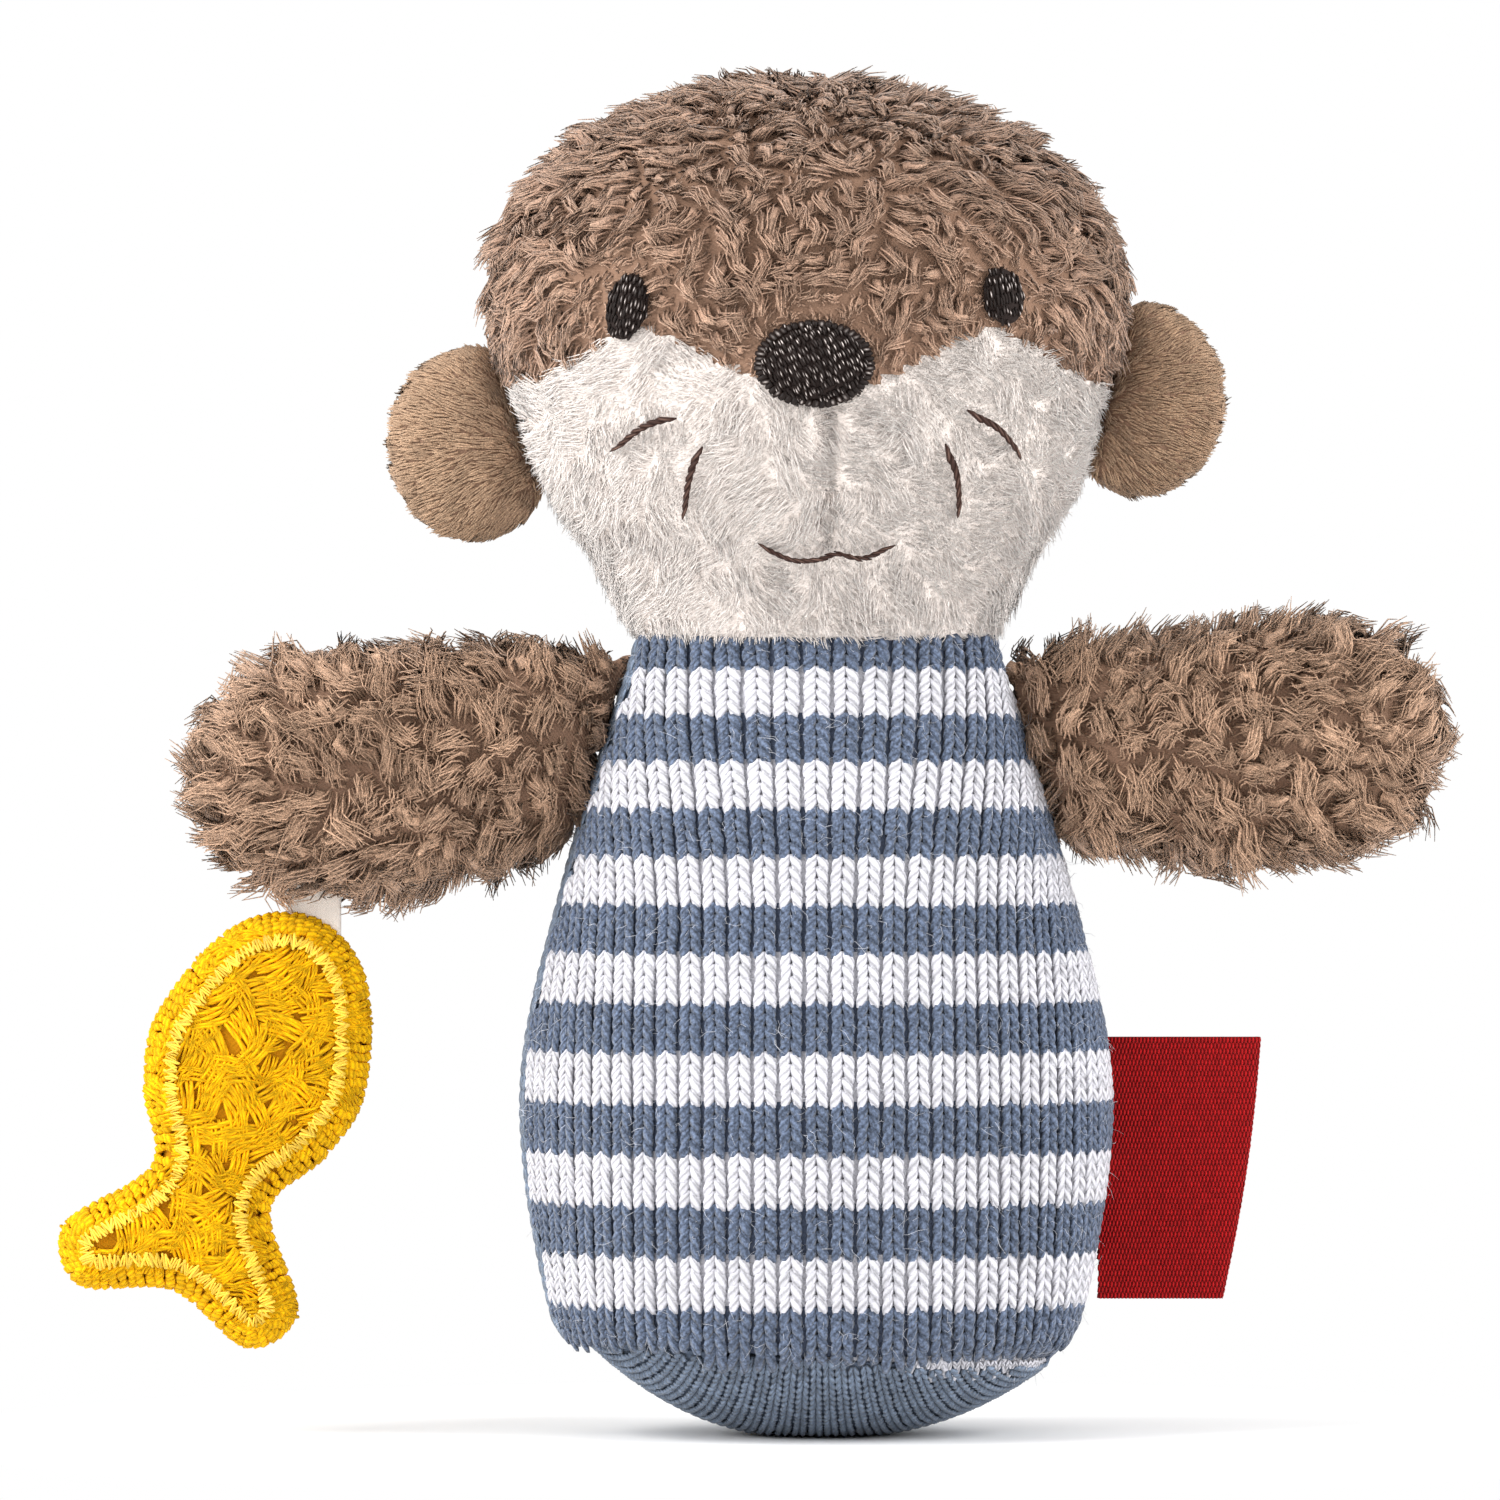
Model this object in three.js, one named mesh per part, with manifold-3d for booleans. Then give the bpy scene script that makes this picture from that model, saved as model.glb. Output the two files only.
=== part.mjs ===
// Otter rattle: a stuffed otter with a knitted body, a plush head and arms, velour ears, a padded fish on a
// ribbon, a woven tag in the side seam, and a capsule of loose beads inside the body.
// Millimetres, +Z up. The face looks along -Y. The origin is the middle of the flat that the base stands on.
// Left is -X and right is +X, as seen from the front.

import * as THREE from 'three';
import { mergeVertices } from 'three/addons/utils/BufferGeometryUtils.js';
import Module from 'manifold-3d';

// Clearances
const SEAM_GAP = 0.3; // between two panels sewn edge to edge, and under what is sewn on a panel
const FILL_GAP = 0.35; // between a cover and its stuffing
const SWING_GAP = 0.4; // between the root of a limb and the panel that it is sewn to

// Body: half widths at heights above the floor
const BASE_CUT = 0.5; // the round base is flat where it stands, this deep
const BASE_FULLNESS = 2.3; // power of the base's curve, 2 is a parabola
const BASE_SEAM_Z = 7.6;
const BASE_SEAM_HALF_WIDTH = 21.6;
const HIP_Z = 12;
const HIP_HALF_WIDTH = 25.2;
const BELLY_Z = 32;
const BELLY_HALF_WIDTH = 27.9;
const BELLY_HALF_DEPTH = 22.8;
const CHEST_Z = 52;
const CHEST_HALF_WIDTH = 23.9;
const NECK_Z = 74;
const NECK_HALF_WIDTH = 17.2;
const KNIT_WALL = 1.4;
const BASE_WALL = 1.2;
const SIDE_SEAM_Y = -2.5;
const SIDE_SEAM_TURN = 5; // degrees that the two side seams are turned about the body

// Rattle capsule and beads
const CAPSULE_Z = 33;
const CAPSULE_RADIUS = 14.5;
const CAPSULE_WALL = 1.6;
const CAPSULE_LIP = 1.6; // height of the spigot that locates the upper half
const CAPSULE_LIP_WALL = 0.6;
const CAPSULE_FIT = 0.2;
const BEAD_RADIUS = 2.4;
const BEAD_GAP = 0.3;
const RING_BEADS = 5;
const BEAD_RING_RADIUS = 6.2;

// Head: half widths at heights above the neck
const HEAD_NECK_HALF_WIDTH = 16.6;
const JAW_RISE = 8.2;
const JAW_HALF_WIDTH = 20.4;
const CHEEK_RISE = 16;
const CHEEK_HALF_WIDTH = 25.4;
const TEMPLE_RISE = 32;
const TEMPLE_HALF_WIDTH = 29.4;
const TEMPLE_HALF_DEPTH = 25.2;
const HEAD_HEIGHT = 52.4;
const CROWN_FULLNESS = 2.1; // power of the crown's curve, 2 is an ellipse
const HEAD_LEAN = 1.2; // how far the crown leans to the left
const PLUSH_WALL = 1.2;
const HEAD_SEAM_Y = 2; // the front panels and the back panel meet here, with the ears between them
const MUZZLE_SWELL = 3.2;
const MUZZLE_SWELL_RISE = 19;
const MUZZLE_SWELL_HALF_WIDTH = 15;
const MUZZLE_SWELL_HALF_HEIGHT = 11;

// Muzzle panels: the top edge, seen from the front
const MUZZLE_SEAM_X = 0.9;
const MUZZLE_NOTCH_RISE = 22.4;
const MUZZLE_INNER_X = 9.6;
const MUZZLE_INNER_RISE = 25.8;
const MUZZLE_LOBE_X = 16.8;
const MUZZLE_LOBE_RISE = 28.8;
const MUZZLE_OUTER_X = 28;
const MUZZLE_OUTER_RISE = 23.8;

// Embroidered face
const STITCH_DEPTH = 0.9;
const NOSE_X = 0;
const NOSE_RISE = 26.6;
const NOSE_HALF_WIDTH = 5.5;
const NOSE_HALF_HEIGHT = 3.9;
const EYE_HALF_WIDTH = 1.9;
const EYE_HALF_HEIGHT = 3;
const LEFT_EYE = { x: -17.6, rise: 32, lean: -14 };
const RIGHT_EYE = { x: 17.8, rise: 32.9, lean: 12 };
const THREAD_RADIUS = 0.45;
const MOUTH_X = 1.4;
const MOUTH_HALF_WIDTH = 6.7;
const MOUTH_RISE = 8.9; // the cusp under the muzzle seam
const MOUTH_DIP = 0.5;
const MOUTH_CURL = 0.8;
const WHISKER_TOP = { x: 13.8, rise: 21.9, run: 5.6, drop: 4, bow: 0.9 };
const WHISKER_LOW = { x: 11.5, rise: 19.0, run: 1.6, drop: 6.6, bow: -0.4 };

// Ears
const EAR_HALF_WIDTH = 8;
const EAR_HALF_HEIGHT = 9;
const EAR_HALF_DEPTH = 3.4;
const EAR_FOLD = 25;
const LEFT_EAR = { rise: 19, reach: 13 };
const RIGHT_EAR = { rise: 23.2, reach: 11.2 };

// Arms: half heights along the arm, from the side of the body
const ARM_ROOT_HALF_HEIGHT = 8.4;
const ARM_ROOT_HALF_DEPTH = 1.6;
const ARM_HALF_HEIGHT = 10.4;
const ARM_HALF_DEPTH = 7.4;
const ARM_SWELL_LENGTH = 11; // from the flat root to the full depth
const ARM_PAW_START = 20;
const ARM_LENGTH = 36;
const ARM_TUCK = 9; // made longer inwards by this, then cut to the body
const ARM_WALL = 0.9;
const ARM_SLIT = 0.5; // between the two plies where the arm is sewn shut
const ARM_FILL_START = 4;
const ARM_SWING = 45;
const PAW_FULLNESS = 2.6;
const LEFT_ARM = { drop: 9.2, tilt: -5 };
const RIGHT_ARM = { drop: 9.8, tilt: 3.5 };

// Ribbon and fish under the left arm
const RIBBON_AT = 27.5; // along the arm
const RIBBON_WIDTH = 5.2;
const RIBBON_DEPTH = 0.6;
const RIBBON_DROP = 5.6; // to the middle of the tongue in the fish
const RIBBON_FLAP = 60;
const FISH_TILT = 20.5;
const FISH_TOP = 1.6; // above the middle of the tongue
const FISH_SET = -0.8; // middle of the fish, to one side of the tongue
const FISH_SHOULDER = { halfWidth: 6.6, down: 3.6 };
const FISH_BELLY = { halfWidth: 10.3, down: 13.5 };
const FISH_FLANK = { halfWidth: 9, down: 20.5 };
const FISH_WAIST = { halfWidth: 5.8, down: 27 };
const FISH_FIN = { halfWidth: 11.5, down: 35 };
const FISH_FIN_TIP = { halfWidth: 8.4, down: 39.8 };
const FISH_NOTCH_DOWN = 37.2;
const FISH_HALF_DEPTH = 3.6;
const FISH_CROWN_HALF_WIDTH = 20; // the crown is a slice of an ellipsoid of this half width and height
const FISH_CROWN_HALF_HEIGHT = 34;
const FISH_WALL = 1.2;
const FISH_RIM = 1.8; // width of the sewn edge
const OUTLINE_INSET = 2.4;
const OUTLINE_WIDTH = 1.1;
const OUTLINE_DEPTH = 0.6;
const OUTLINE_OPEN = 0.015; // share of the outline between its first and last stitch
const TONGUE_PLAY = 1.8; // room at each side of the ribbon inside the fish

// Woven tag in the right side seam
const TAG_BOTTOM_Z = 12.8;
const TAG_HEIGHT = 24.5;
const TAG_REACH_TOP = 14;
const TAG_REACH_BOTTOM = 11.2;
const TAG_PLY = 0.35;
const TAG_FOLD_RADIUS = 0.6;
const TAG_TUCK = 5; // made longer inwards by this, then cut to the body
const TAG_FOLD = 50;

// Fineness of the curves
const FORM_SIDES = 32;
const FILL_SIDES = 18;
const SMALL_SIDES = 8;
const PROFILE_STEPS = 12;
const DOME_STEPS = 6;
const OUTLINE_STEPS = 44;
const PLATE_SEGMENTS = 8;
const ROPE_SEGMENTS = 2;
const FOLD_SEGMENTS = 6;
const WELD = 1e-4;
const FAR = 200; // half size of a cutting block
const DEGREE = Math.PI / 180;

const wasm = await Module();
wasm.setup();

// Solids

function signedVolume(places, corners) {
  const [a, b, c] = [new THREE.Vector3(), new THREE.Vector3(), new THREE.Vector3()];
  let sum = 0;
  for (let i = 0; i < corners.length; i += 3) {
    a.fromBufferAttribute(places, corners[i]);
    b.fromBufferAttribute(places, corners[i + 1]);
    c.fromBufferAttribute(places, corners[i + 2]);
    sum += a.dot(b.cross(c));
  }
  return sum / 6;
}

// Turns a closed geometry into a solid with its faces pointing out.
function solidOf(geometry) {
  const bare = geometry.clone();
  bare.deleteAttribute('normal');
  bare.deleteAttribute('uv');
  const merged = mergeVertices(bare, WELD);
  const places = merged.getAttribute('position');
  const corners = [];
  for (let i = 0; i < merged.index.count; i += 3) {
    const [a, b, c] = [0, 1, 2].map((k) => merged.index.getX(i + k));
    if (a !== b && b !== c && c !== a) corners.push(a, b, c);
  }
  if (signedVolume(places, corners) < 0) corners.reverse();
  return new wasm.Manifold(new wasm.Mesh({
    numProp: 3,
    vertProperties: new Float32Array(places.array),
    triVerts: new Uint32Array(corners),
  }));
}

function meshOf(name, solid, colour, roughness) {
  const { vertProperties, triVerts } = solid.getMesh();
  const geometry = new THREE.BufferGeometry();
  geometry.setAttribute('position', new THREE.BufferAttribute(vertProperties.slice(), 3));
  geometry.setIndex(new THREE.BufferAttribute(triVerts.slice(), 1));
  geometry.computeVertexNormals();
  const mesh = new THREE.Mesh(geometry, new THREE.MeshStandardMaterial({ color: colour, roughness }));
  mesh.name = name;
  return mesh;
}

function moved(solid, matrix) {
  return solid.transform(matrix.elements);
}

// A solid less its neighbour, with the neighbour also turned about an axis through the origin.
function clearOf(solid, neighbour, axis, swing) {
  return [-1, -0.5, 0, 0.5, 1].reduce((rest, share) => {
    const turn = new THREE.Matrix4().makeRotationAxis(axis, share * swing * DEGREE);
    return rest.subtract(moved(neighbour, turn));
  }, solid);
}

function block(low, high) {
  const size = high.map((value, i) => value - low[i]);
  const geometry = new THREE.BoxGeometry(...size);
  geometry.translate(...low.map((value, i) => value + size[i] / 2));
  return solidOf(geometry);
}

// The half of space on one side of a plane across X, Y or Z.
function halfSpace(axis, from, direction) {
  const low = [-FAR, -FAR, -FAR];
  const high = [FAR, FAR, FAR];
  if (direction > 0) low[axis] = from;
  else high[axis] = from;
  return block(low, high);
}

// Profiles: points (radius, height), from the lower end to the upper one

function smoothProfile(stations, steps) {
  return new THREE.SplineCurve(stations.map(([radius, height]) => new THREE.Vector2(radius, height)))
    .getPoints(steps);
}

// A quarter of a superellipse, from full radius to the axis.
function domeProfile(radius, start, end, fullness, steps) {
  return Array.from({ length: steps }, (_, i) => {
    const angle = ((i + 1) / steps) * (Math.PI / 2);
    const share = 2 / fullness;
    const width = i + 1 === steps ? 0 : radius * Math.cos(angle) ** share;
    return new THREE.Vector2(width, start + (end - start) * Math.sin(angle) ** share);
  });
}

function arcProfile(radius, fromAngle, toAngle, steps) {
  return Array.from({ length: steps + 1 }, (_, i) => {
    const angle = THREE.MathUtils.lerp(fromAngle, toAngle, i / steps);
    const width = Math.abs(Math.abs(angle) - Math.PI / 2) < WELD ? 0 : radius * Math.cos(angle);
    return new THREE.Vector2(width, radius * Math.sin(angle));
  });
}

function offsetPoints(points, distance, closed = false) {
  const count = points.length;
  return points.map((point, i) => {
    const before = points[closed ? (i + count - 1) % count : Math.max(0, i - 1)];
    const after = points[closed ? (i + 1) % count : Math.min(count - 1, i + 1)];
    const along = after.clone().sub(before).normalize();
    return new THREE.Vector2(point.x + along.y * distance, point.y - along.x * distance);
  });
}

function offsetProfile(profile, distance) {
  return offsetPoints(profile, distance).map((point, i) => {
    if (profile[i].x === 0) point.x = 0;
    return point;
  });
}

function widthAt(profile, height) {
  const upper = profile.findIndex((point, i) => i > 0 && point.y >= height);
  const [low, high] = [profile[upper - 1], profile[upper]];
  return THREE.MathUtils.mapLinear(height, low.y, high.y, low.x, high.x);
}

// Closes a profile to the axis at its open ends, after making those ends longer.
function closedProfile(profile, below = 0, above = 0) {
  const first = profile[0];
  const last = profile[profile.length - 1];
  const closed = profile.slice();
  if (first.x > 0) {
    if (below > 0) closed.unshift(new THREE.Vector2(first.x, first.y - below));
    closed.unshift(new THREE.Vector2(0, first.y - below));
  }
  if (last.x > 0) {
    if (above > 0) closed.push(new THREE.Vector2(last.x, last.y + above));
    closed.push(new THREE.Vector2(0, last.y + above));
  }
  return closed;
}

// A profile turned about Z and then shaped point by point.
function revolve(profile, sides, shape = () => {}) {
  const geometry = new THREE.LatheGeometry(profile, sides);
  geometry.rotateX(Math.PI / 2);
  const places = geometry.getAttribute('position');
  const point = new THREE.Vector3();
  for (let i = 0; i < places.count; i += 1) {
    point.fromBufferAttribute(places, i);
    shape(point);
    places.setXYZ(i, point.x, point.y, point.z);
  }
  return solidOf(geometry);
}

// An outline drawn in X and Z, made thick along Y from one place to another.
function plate(shape, fromY, toY) {
  const geometry = new THREE.ExtrudeGeometry(shape, {
    depth: toY - fromY,
    bevelEnabled: false,
    curveSegments: PLATE_SEGMENTS,
  });
  geometry.rotateX(Math.PI / 2);
  geometry.translate(0, toY, 0);
  return solidOf(geometry);
}

function rope(section, path, steps) {
  const options = { extrudePath: path, steps, curveSegments: ROPE_SEGMENTS };
  return solidOf(new THREE.ExtrudeGeometry(section, options));
}

// Body

const bodyShare = BELLY_HALF_DEPTH / BELLY_HALF_WIDTH;

function bodyShape(point) {
  point.y *= bodyShare;
}

const sleeveStart = BASE_SEAM_Z + SEAM_GAP;
const bodyProfile = smoothProfile([
  [BASE_SEAM_HALF_WIDTH, sleeveStart],
  [HIP_HALF_WIDTH, HIP_Z],
  [BELLY_HALF_WIDTH, BELLY_Z],
  [CHEST_HALF_WIDTH, CHEST_Z],
  [NECK_HALF_WIDTH, NECK_Z],
], PROFILE_STEPS);

// The knitted part of the body as one solid, grown by a distance.
function bodySolid(distance, sides = FORM_SIDES) {
  return revolve(closedProfile(offsetProfile(bodyProfile, distance)), sides, bodyShape);
}

function baseProfile() {
  const height = BASE_SEAM_Z + BASE_CUT;
  const flat = BASE_SEAM_HALF_WIDTH * (BASE_CUT / height) ** (1 / BASE_FULLNESS);
  const steps = DOME_STEPS;
  const curve = Array.from({ length: steps }, (_, i) => {
    const radius = THREE.MathUtils.lerp(flat, BASE_SEAM_HALF_WIDTH, (i + 1) / steps);
    return new THREE.Vector2(radius, height * (radius / BASE_SEAM_HALF_WIDTH) ** BASE_FULLNESS - BASE_CUT);
  });
  return [new THREE.Vector2(0, 0), new THREE.Vector2(flat, 0), ...curve];
}

function makeBody() {
  const group = new THREE.Group();
  const base = baseProfile();
  const baseInside = offsetProfile(base, -BASE_WALL);
  const dish = revolve(closedProfile(base), FORM_SIDES, bodyShape)
    .subtract(revolve(closedProfile(baseInside, 0, BASE_WALL), FORM_SIDES, bodyShape));
  group.add(meshOf('base_panel', dish.intersect(halfSpace(2, BASE_SEAM_Z, -1)), 0x6d7987, 0.95));

  const sleeve = bodySolid(0)
    .subtract(revolve(closedProfile(offsetProfile(bodyProfile, -KNIT_WALL), KNIT_WALL, KNIT_WALL),
      FORM_SIDES, bodyShape));
  const seamTurn = new THREE.Matrix4().makeRotationZ(SIDE_SEAM_TURN * DEGREE);
  const front = moved(halfSpace(1, SIDE_SEAM_Y - SEAM_GAP / 2, -1), seamTurn);
  const back = moved(halfSpace(1, SIDE_SEAM_Y + SEAM_GAP / 2, 1), seamTurn);
  group.add(meshOf('body_front_panel', sleeve.intersect(front), 0x9ea2ae, 0.95));
  group.add(meshOf('body_back_panel', sleeve.intersect(back), 0x6d7987, 0.95));

  const inBaseProfile = closedProfile(offsetProfile(base, -BASE_WALL - FILL_GAP), 0, BASE_WALL);
  const inBase = revolve(inBaseProfile, FILL_SIDES, bodyShape);
  const inSleeve = bodySolid(-KNIT_WALL - FILL_GAP, FILL_SIDES);
  const pocketProfile = arcProfile(CAPSULE_RADIUS + FILL_GAP, -Math.PI / 2, Math.PI / 2, 2 * DOME_STEPS);
  const pocket = revolve(pocketProfile, FILL_SIDES);
  const fill = inBase.add(inSleeve)
    .intersect(halfSpace(2, NECK_Z - FILL_GAP, -1))
    .subtract(moved(pocket, new THREE.Matrix4().makeTranslation(0, 0, CAPSULE_Z)));
  const lower = fill.intersect(halfSpace(2, CAPSULE_Z - SEAM_GAP / 2, -1));
  const upper = fill.intersect(halfSpace(2, CAPSULE_Z + SEAM_GAP / 2, 1));
  group.add(meshOf('body_stuffing_lower', lower, 0xe9e7e2, 1));
  group.add(meshOf('body_stuffing_upper', upper, 0xe9e7e2, 1));
  return group;
}

// Capsule and beads

function makeRattle() {
  const group = new THREE.Group();
  group.position.z = CAPSULE_Z;
  const inner = CAPSULE_RADIUS - CAPSULE_WALL;
  const spigot = inner + CAPSULE_LIP_WALL;
  const socket = spigot + CAPSULE_FIT;
  const quarter = Math.PI / 2;
  const steps = DOME_STEPS;
  const joint = CAPSULE_FIT / 2;
  const socketAngle = Math.asin((CAPSULE_LIP + CAPSULE_FIT) / inner);
  const lower = [
    ...arcProfile(CAPSULE_RADIUS, -quarter, -Math.asin(joint / CAPSULE_RADIUS), steps),
    new THREE.Vector2(spigot, -joint),
    new THREE.Vector2(spigot, CAPSULE_LIP),
    new THREE.Vector2(inner, CAPSULE_LIP),
    ...arcProfile(inner, 0, -quarter, steps),
  ];
  const upper = [
    ...arcProfile(inner, quarter, socketAngle, steps),
    new THREE.Vector2(socket, CAPSULE_LIP + CAPSULE_FIT),
    new THREE.Vector2(socket, joint),
    ...arcProfile(CAPSULE_RADIUS, Math.asin(joint / CAPSULE_RADIUS), quarter, steps),
  ];
  group.add(meshOf('capsule_lower', revolve(lower, FILL_SIDES), 0xf2f0ea, 0.4));
  group.add(meshOf('capsule_upper', revolve(upper, FILL_SIDES), 0xf2f0ea, 0.4));

  const reach = inner - BEAD_RADIUS - BEAD_GAP;
  for (let i = 0; i <= RING_BEADS; i += 1) {
    const out = i === 0 ? 0 : BEAD_RING_RADIUS;
    const angle = (i / RING_BEADS) * 2 * Math.PI;
    const geometry = new THREE.SphereGeometry(BEAD_RADIUS, SMALL_SIDES, SMALL_SIDES / 2 + 1);
    const bead = meshOf(`bead_${i + 1}`, solidOf(geometry), 0xd9d2c4, 0.35);
    bead.position.set(out * Math.cos(angle), out * Math.sin(angle), -Math.sqrt(reach ** 2 - out ** 2));
    group.add(bead);
  }
  return group;
}

// Head

const headShare = TEMPLE_HALF_DEPTH / TEMPLE_HALF_WIDTH;
const headStart = NECK_Z + SEAM_GAP;
const headProfile = [
  ...smoothProfile([
    [HEAD_NECK_HALF_WIDTH, headStart],
    [JAW_HALF_WIDTH, NECK_Z + JAW_RISE],
    [CHEEK_HALF_WIDTH, NECK_Z + CHEEK_RISE],
    [TEMPLE_HALF_WIDTH, NECK_Z + TEMPLE_RISE],
  ], DOME_STEPS),
  ...domeProfile(TEMPLE_HALF_WIDTH, NECK_Z + TEMPLE_RISE, NECK_Z + HEAD_HEIGHT, CROWN_FULLNESS, DOME_STEPS),
];

function headLean(z) {
  return (HEAD_LEAN * (z - NECK_Z)) / HEAD_HEIGHT;
}

function muzzleSwell(x, z) {
  const across = x / MUZZLE_SWELL_HALF_WIDTH;
  const up = (z - NECK_Z - MUZZLE_SWELL_RISE) / MUZZLE_SWELL_HALF_HEIGHT;
  return MUZZLE_SWELL * Math.exp(-(across ** 2) - up ** 2);
}

function headShape(point) {
  const radius = Math.hypot(point.x, point.y);
  const front = radius > 0 ? Math.max(0, -point.y / radius) : 0;
  point.y = point.y * headShare - front * muzzleSwell(point.x, point.z);
  point.x -= headLean(point.z);
}

function headSolid(distance, sides = FORM_SIDES) {
  return revolve(closedProfile(offsetProfile(headProfile, distance)), sides, headShape);
}

// The front of the face at a place seen from the front.
function faceY(x, z) {
  const side = x + headLean(z);
  const radius = widthAt(headProfile, z);
  const depth = Math.sqrt(Math.max(0, radius ** 2 - side ** 2));
  return -depth * headShare - (depth / radius) * muzzleSwell(side, z);
}

// A point lifted off the face, square to it.
function onFace(x, z, lift) {
  const step = 0.1;
  const slopeX = (faceY(x + step, z) - faceY(x - step, z)) / (2 * step);
  const slopeZ = (faceY(x, z + step) - faceY(x, z - step)) / (2 * step);
  const normal = new THREE.Vector3(slopeX, -1, slopeZ).normalize();
  return new THREE.Vector3(x, faceY(x, z), z).addScaledVector(normal, lift);
}

function muzzleOutline(grow) {
  const side = (sign) => [
    [sign * MUZZLE_INNER_X, MUZZLE_INNER_RISE],
    [sign * MUZZLE_LOBE_X, MUZZLE_LOBE_RISE],
    [sign * MUZZLE_OUTER_X, MUZZLE_OUTER_RISE],
    [sign * 2 * MUZZLE_OUTER_X, MUZZLE_OUTER_RISE],
  ];
  const stations = [...side(-1).reverse(), [MUZZLE_SEAM_X, MUZZLE_NOTCH_RISE], ...side(1)];
  const edge = smoothProfile(stations.map(([x, rise]) => [x, NECK_Z + rise]), OUTLINE_STEPS / 2);
  const corners = [1, -1].map((sign) => new THREE.Vector2(sign * 2 * MUZZLE_OUTER_X, 0));
  return new THREE.Shape([...offsetPoints(edge, -grow), ...corners]);
}

function embroidered(name, outline, colour) {
  const lifted = headSolid(SEAM_GAP + STITCH_DEPTH).subtract(headSolid(SEAM_GAP));
  return meshOf(name, lifted.intersect(plate(outline, -FAR, 0)), colour, 0.45);
}

function oval(x, z, halfWidth, halfHeight, lean = 0) {
  return new THREE.Shape().absellipse(x, z, halfWidth, halfHeight, 0, 2 * Math.PI, false, lean * DEGREE);
}

function threadOnFace(name, spots) {
  const lift = SEAM_GAP + THREAD_RADIUS;
  const path = new THREE.CatmullRomCurve3(spots.map(([x, rise]) => onFace(x, NECK_Z + rise, lift)));
  const section = new THREE.Shape().absarc(0, 0, THREAD_RADIUS, 0, 2 * Math.PI);
  return meshOf(name, rope(section, path, PROFILE_STEPS), 0x3a2a26, 0.6);
}

function whisker(name, sign, { x, rise, run, drop, bow }) {
  return threadOnFace(name, [
    [sign * x, rise],
    [sign * (x + run / 2 + bow), rise - drop / 2 + bow],
    [sign * (x + run), rise - drop],
  ]);
}

function makeHead() {
  const group = new THREE.Group();
  const shell = headSolid(0).subtract(revolve(
    closedProfile(offsetProfile(headProfile, -PLUSH_WALL), PLUSH_WALL), FORM_SIDES, headShape));
  const front = shell.intersect(halfSpace(1, HEAD_SEAM_Y - SEAM_GAP / 2, -1));
  const back = shell.intersect(halfSpace(1, HEAD_SEAM_Y + SEAM_GAP / 2, 1));
  const muzzle = front.intersect(plate(muzzleOutline(0), -FAR, FAR));
  const forehead = front.subtract(plate(muzzleOutline(SEAM_GAP), -FAR, FAR));
  const left = muzzle.intersect(halfSpace(0, MUZZLE_SEAM_X - SEAM_GAP / 2, -1));
  const right = muzzle.intersect(halfSpace(0, MUZZLE_SEAM_X + SEAM_GAP / 2, 1));
  group.add(meshOf('forehead_panel', forehead, 0x9a7d69, 1));
  group.add(meshOf('back_head_panel', back, 0x9a7d69, 1));
  group.add(meshOf('muzzle_left', left, 0xe0d6cf, 1));
  group.add(meshOf('muzzle_right', right, 0xe0d6cf, 1));
  group.add(meshOf('head_stuffing', headSolid(-PLUSH_WALL - FILL_GAP, FILL_SIDES)
    .intersect(halfSpace(2, headStart, 1)), 0xe9e7e2, 1));

  const noseOutline = oval(NOSE_X, NECK_Z + NOSE_RISE, NOSE_HALF_WIDTH, NOSE_HALF_HEIGHT);
  group.add(embroidered('nose', noseOutline, 0x473a37));
  [['eye_left', LEFT_EYE], ['eye_right', RIGHT_EYE]].forEach(([name, { x, rise, lean }]) => {
    group.add(embroidered(name, oval(x, NECK_Z + rise, EYE_HALF_WIDTH, EYE_HALF_HEIGHT, lean), 0x3c302d));
  });
  group.add(threadOnFace('mouth_stitch', [
    [MOUTH_X - MOUTH_HALF_WIDTH, MOUTH_RISE + MOUTH_CURL],
    [MOUTH_X - MOUTH_HALF_WIDTH / 2, MOUTH_RISE - MOUTH_DIP],
    [MOUTH_X, MOUTH_RISE],
    [MOUTH_X + MOUTH_HALF_WIDTH / 2, MOUTH_RISE - MOUTH_DIP],
    [MOUTH_X + MOUTH_HALF_WIDTH, MOUTH_RISE + MOUTH_CURL],
  ]));
  [['left', -1], ['right', 1]].forEach(([side, sign]) => {
    group.add(whisker(`whisker_${side}_upper`, sign, WHISKER_TOP));
    group.add(whisker(`whisker_${side}_lower`, sign, WHISKER_LOW));
  });
  return group;
}

function makeEar(side, sign, { rise, reach }) {
  const group = new THREE.Group();
  const z = NECK_Z + rise;
  group.position.set(sign * (widthAt(headProfile, z) + SWING_GAP) - headLean(z), HEAD_SEAM_Y, z);
  group.updateMatrixWorld();
  const geometry = new THREE.SphereGeometry(1, FILL_SIDES, SMALL_SIDES);
  geometry.scale(EAR_HALF_WIDTH, EAR_HALF_HEIGHT, EAR_HALF_DEPTH);
  geometry.rotateX(Math.PI / 2);
  geometry.translate(sign * (reach - EAR_HALF_WIDTH), 0, 0);
  const head = moved(headSolid(SWING_GAP), group.matrixWorld.clone().invert());
  const ear = clearOf(solidOf(geometry), head, new THREE.Vector3(0, 0, 1), EAR_FOLD);
  group.add(meshOf(`ear_${side}_front`, ear.intersect(halfSpace(1, -SEAM_GAP / 2, -1)), 0x9e7f65, 1));
  group.add(meshOf(`ear_${side}_back`, ear.intersect(halfSpace(1, SEAM_GAP / 2, 1)), 0x9e7f65, 1));
  return group;
}

// Arms, each along its own +X from the side of the body

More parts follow.
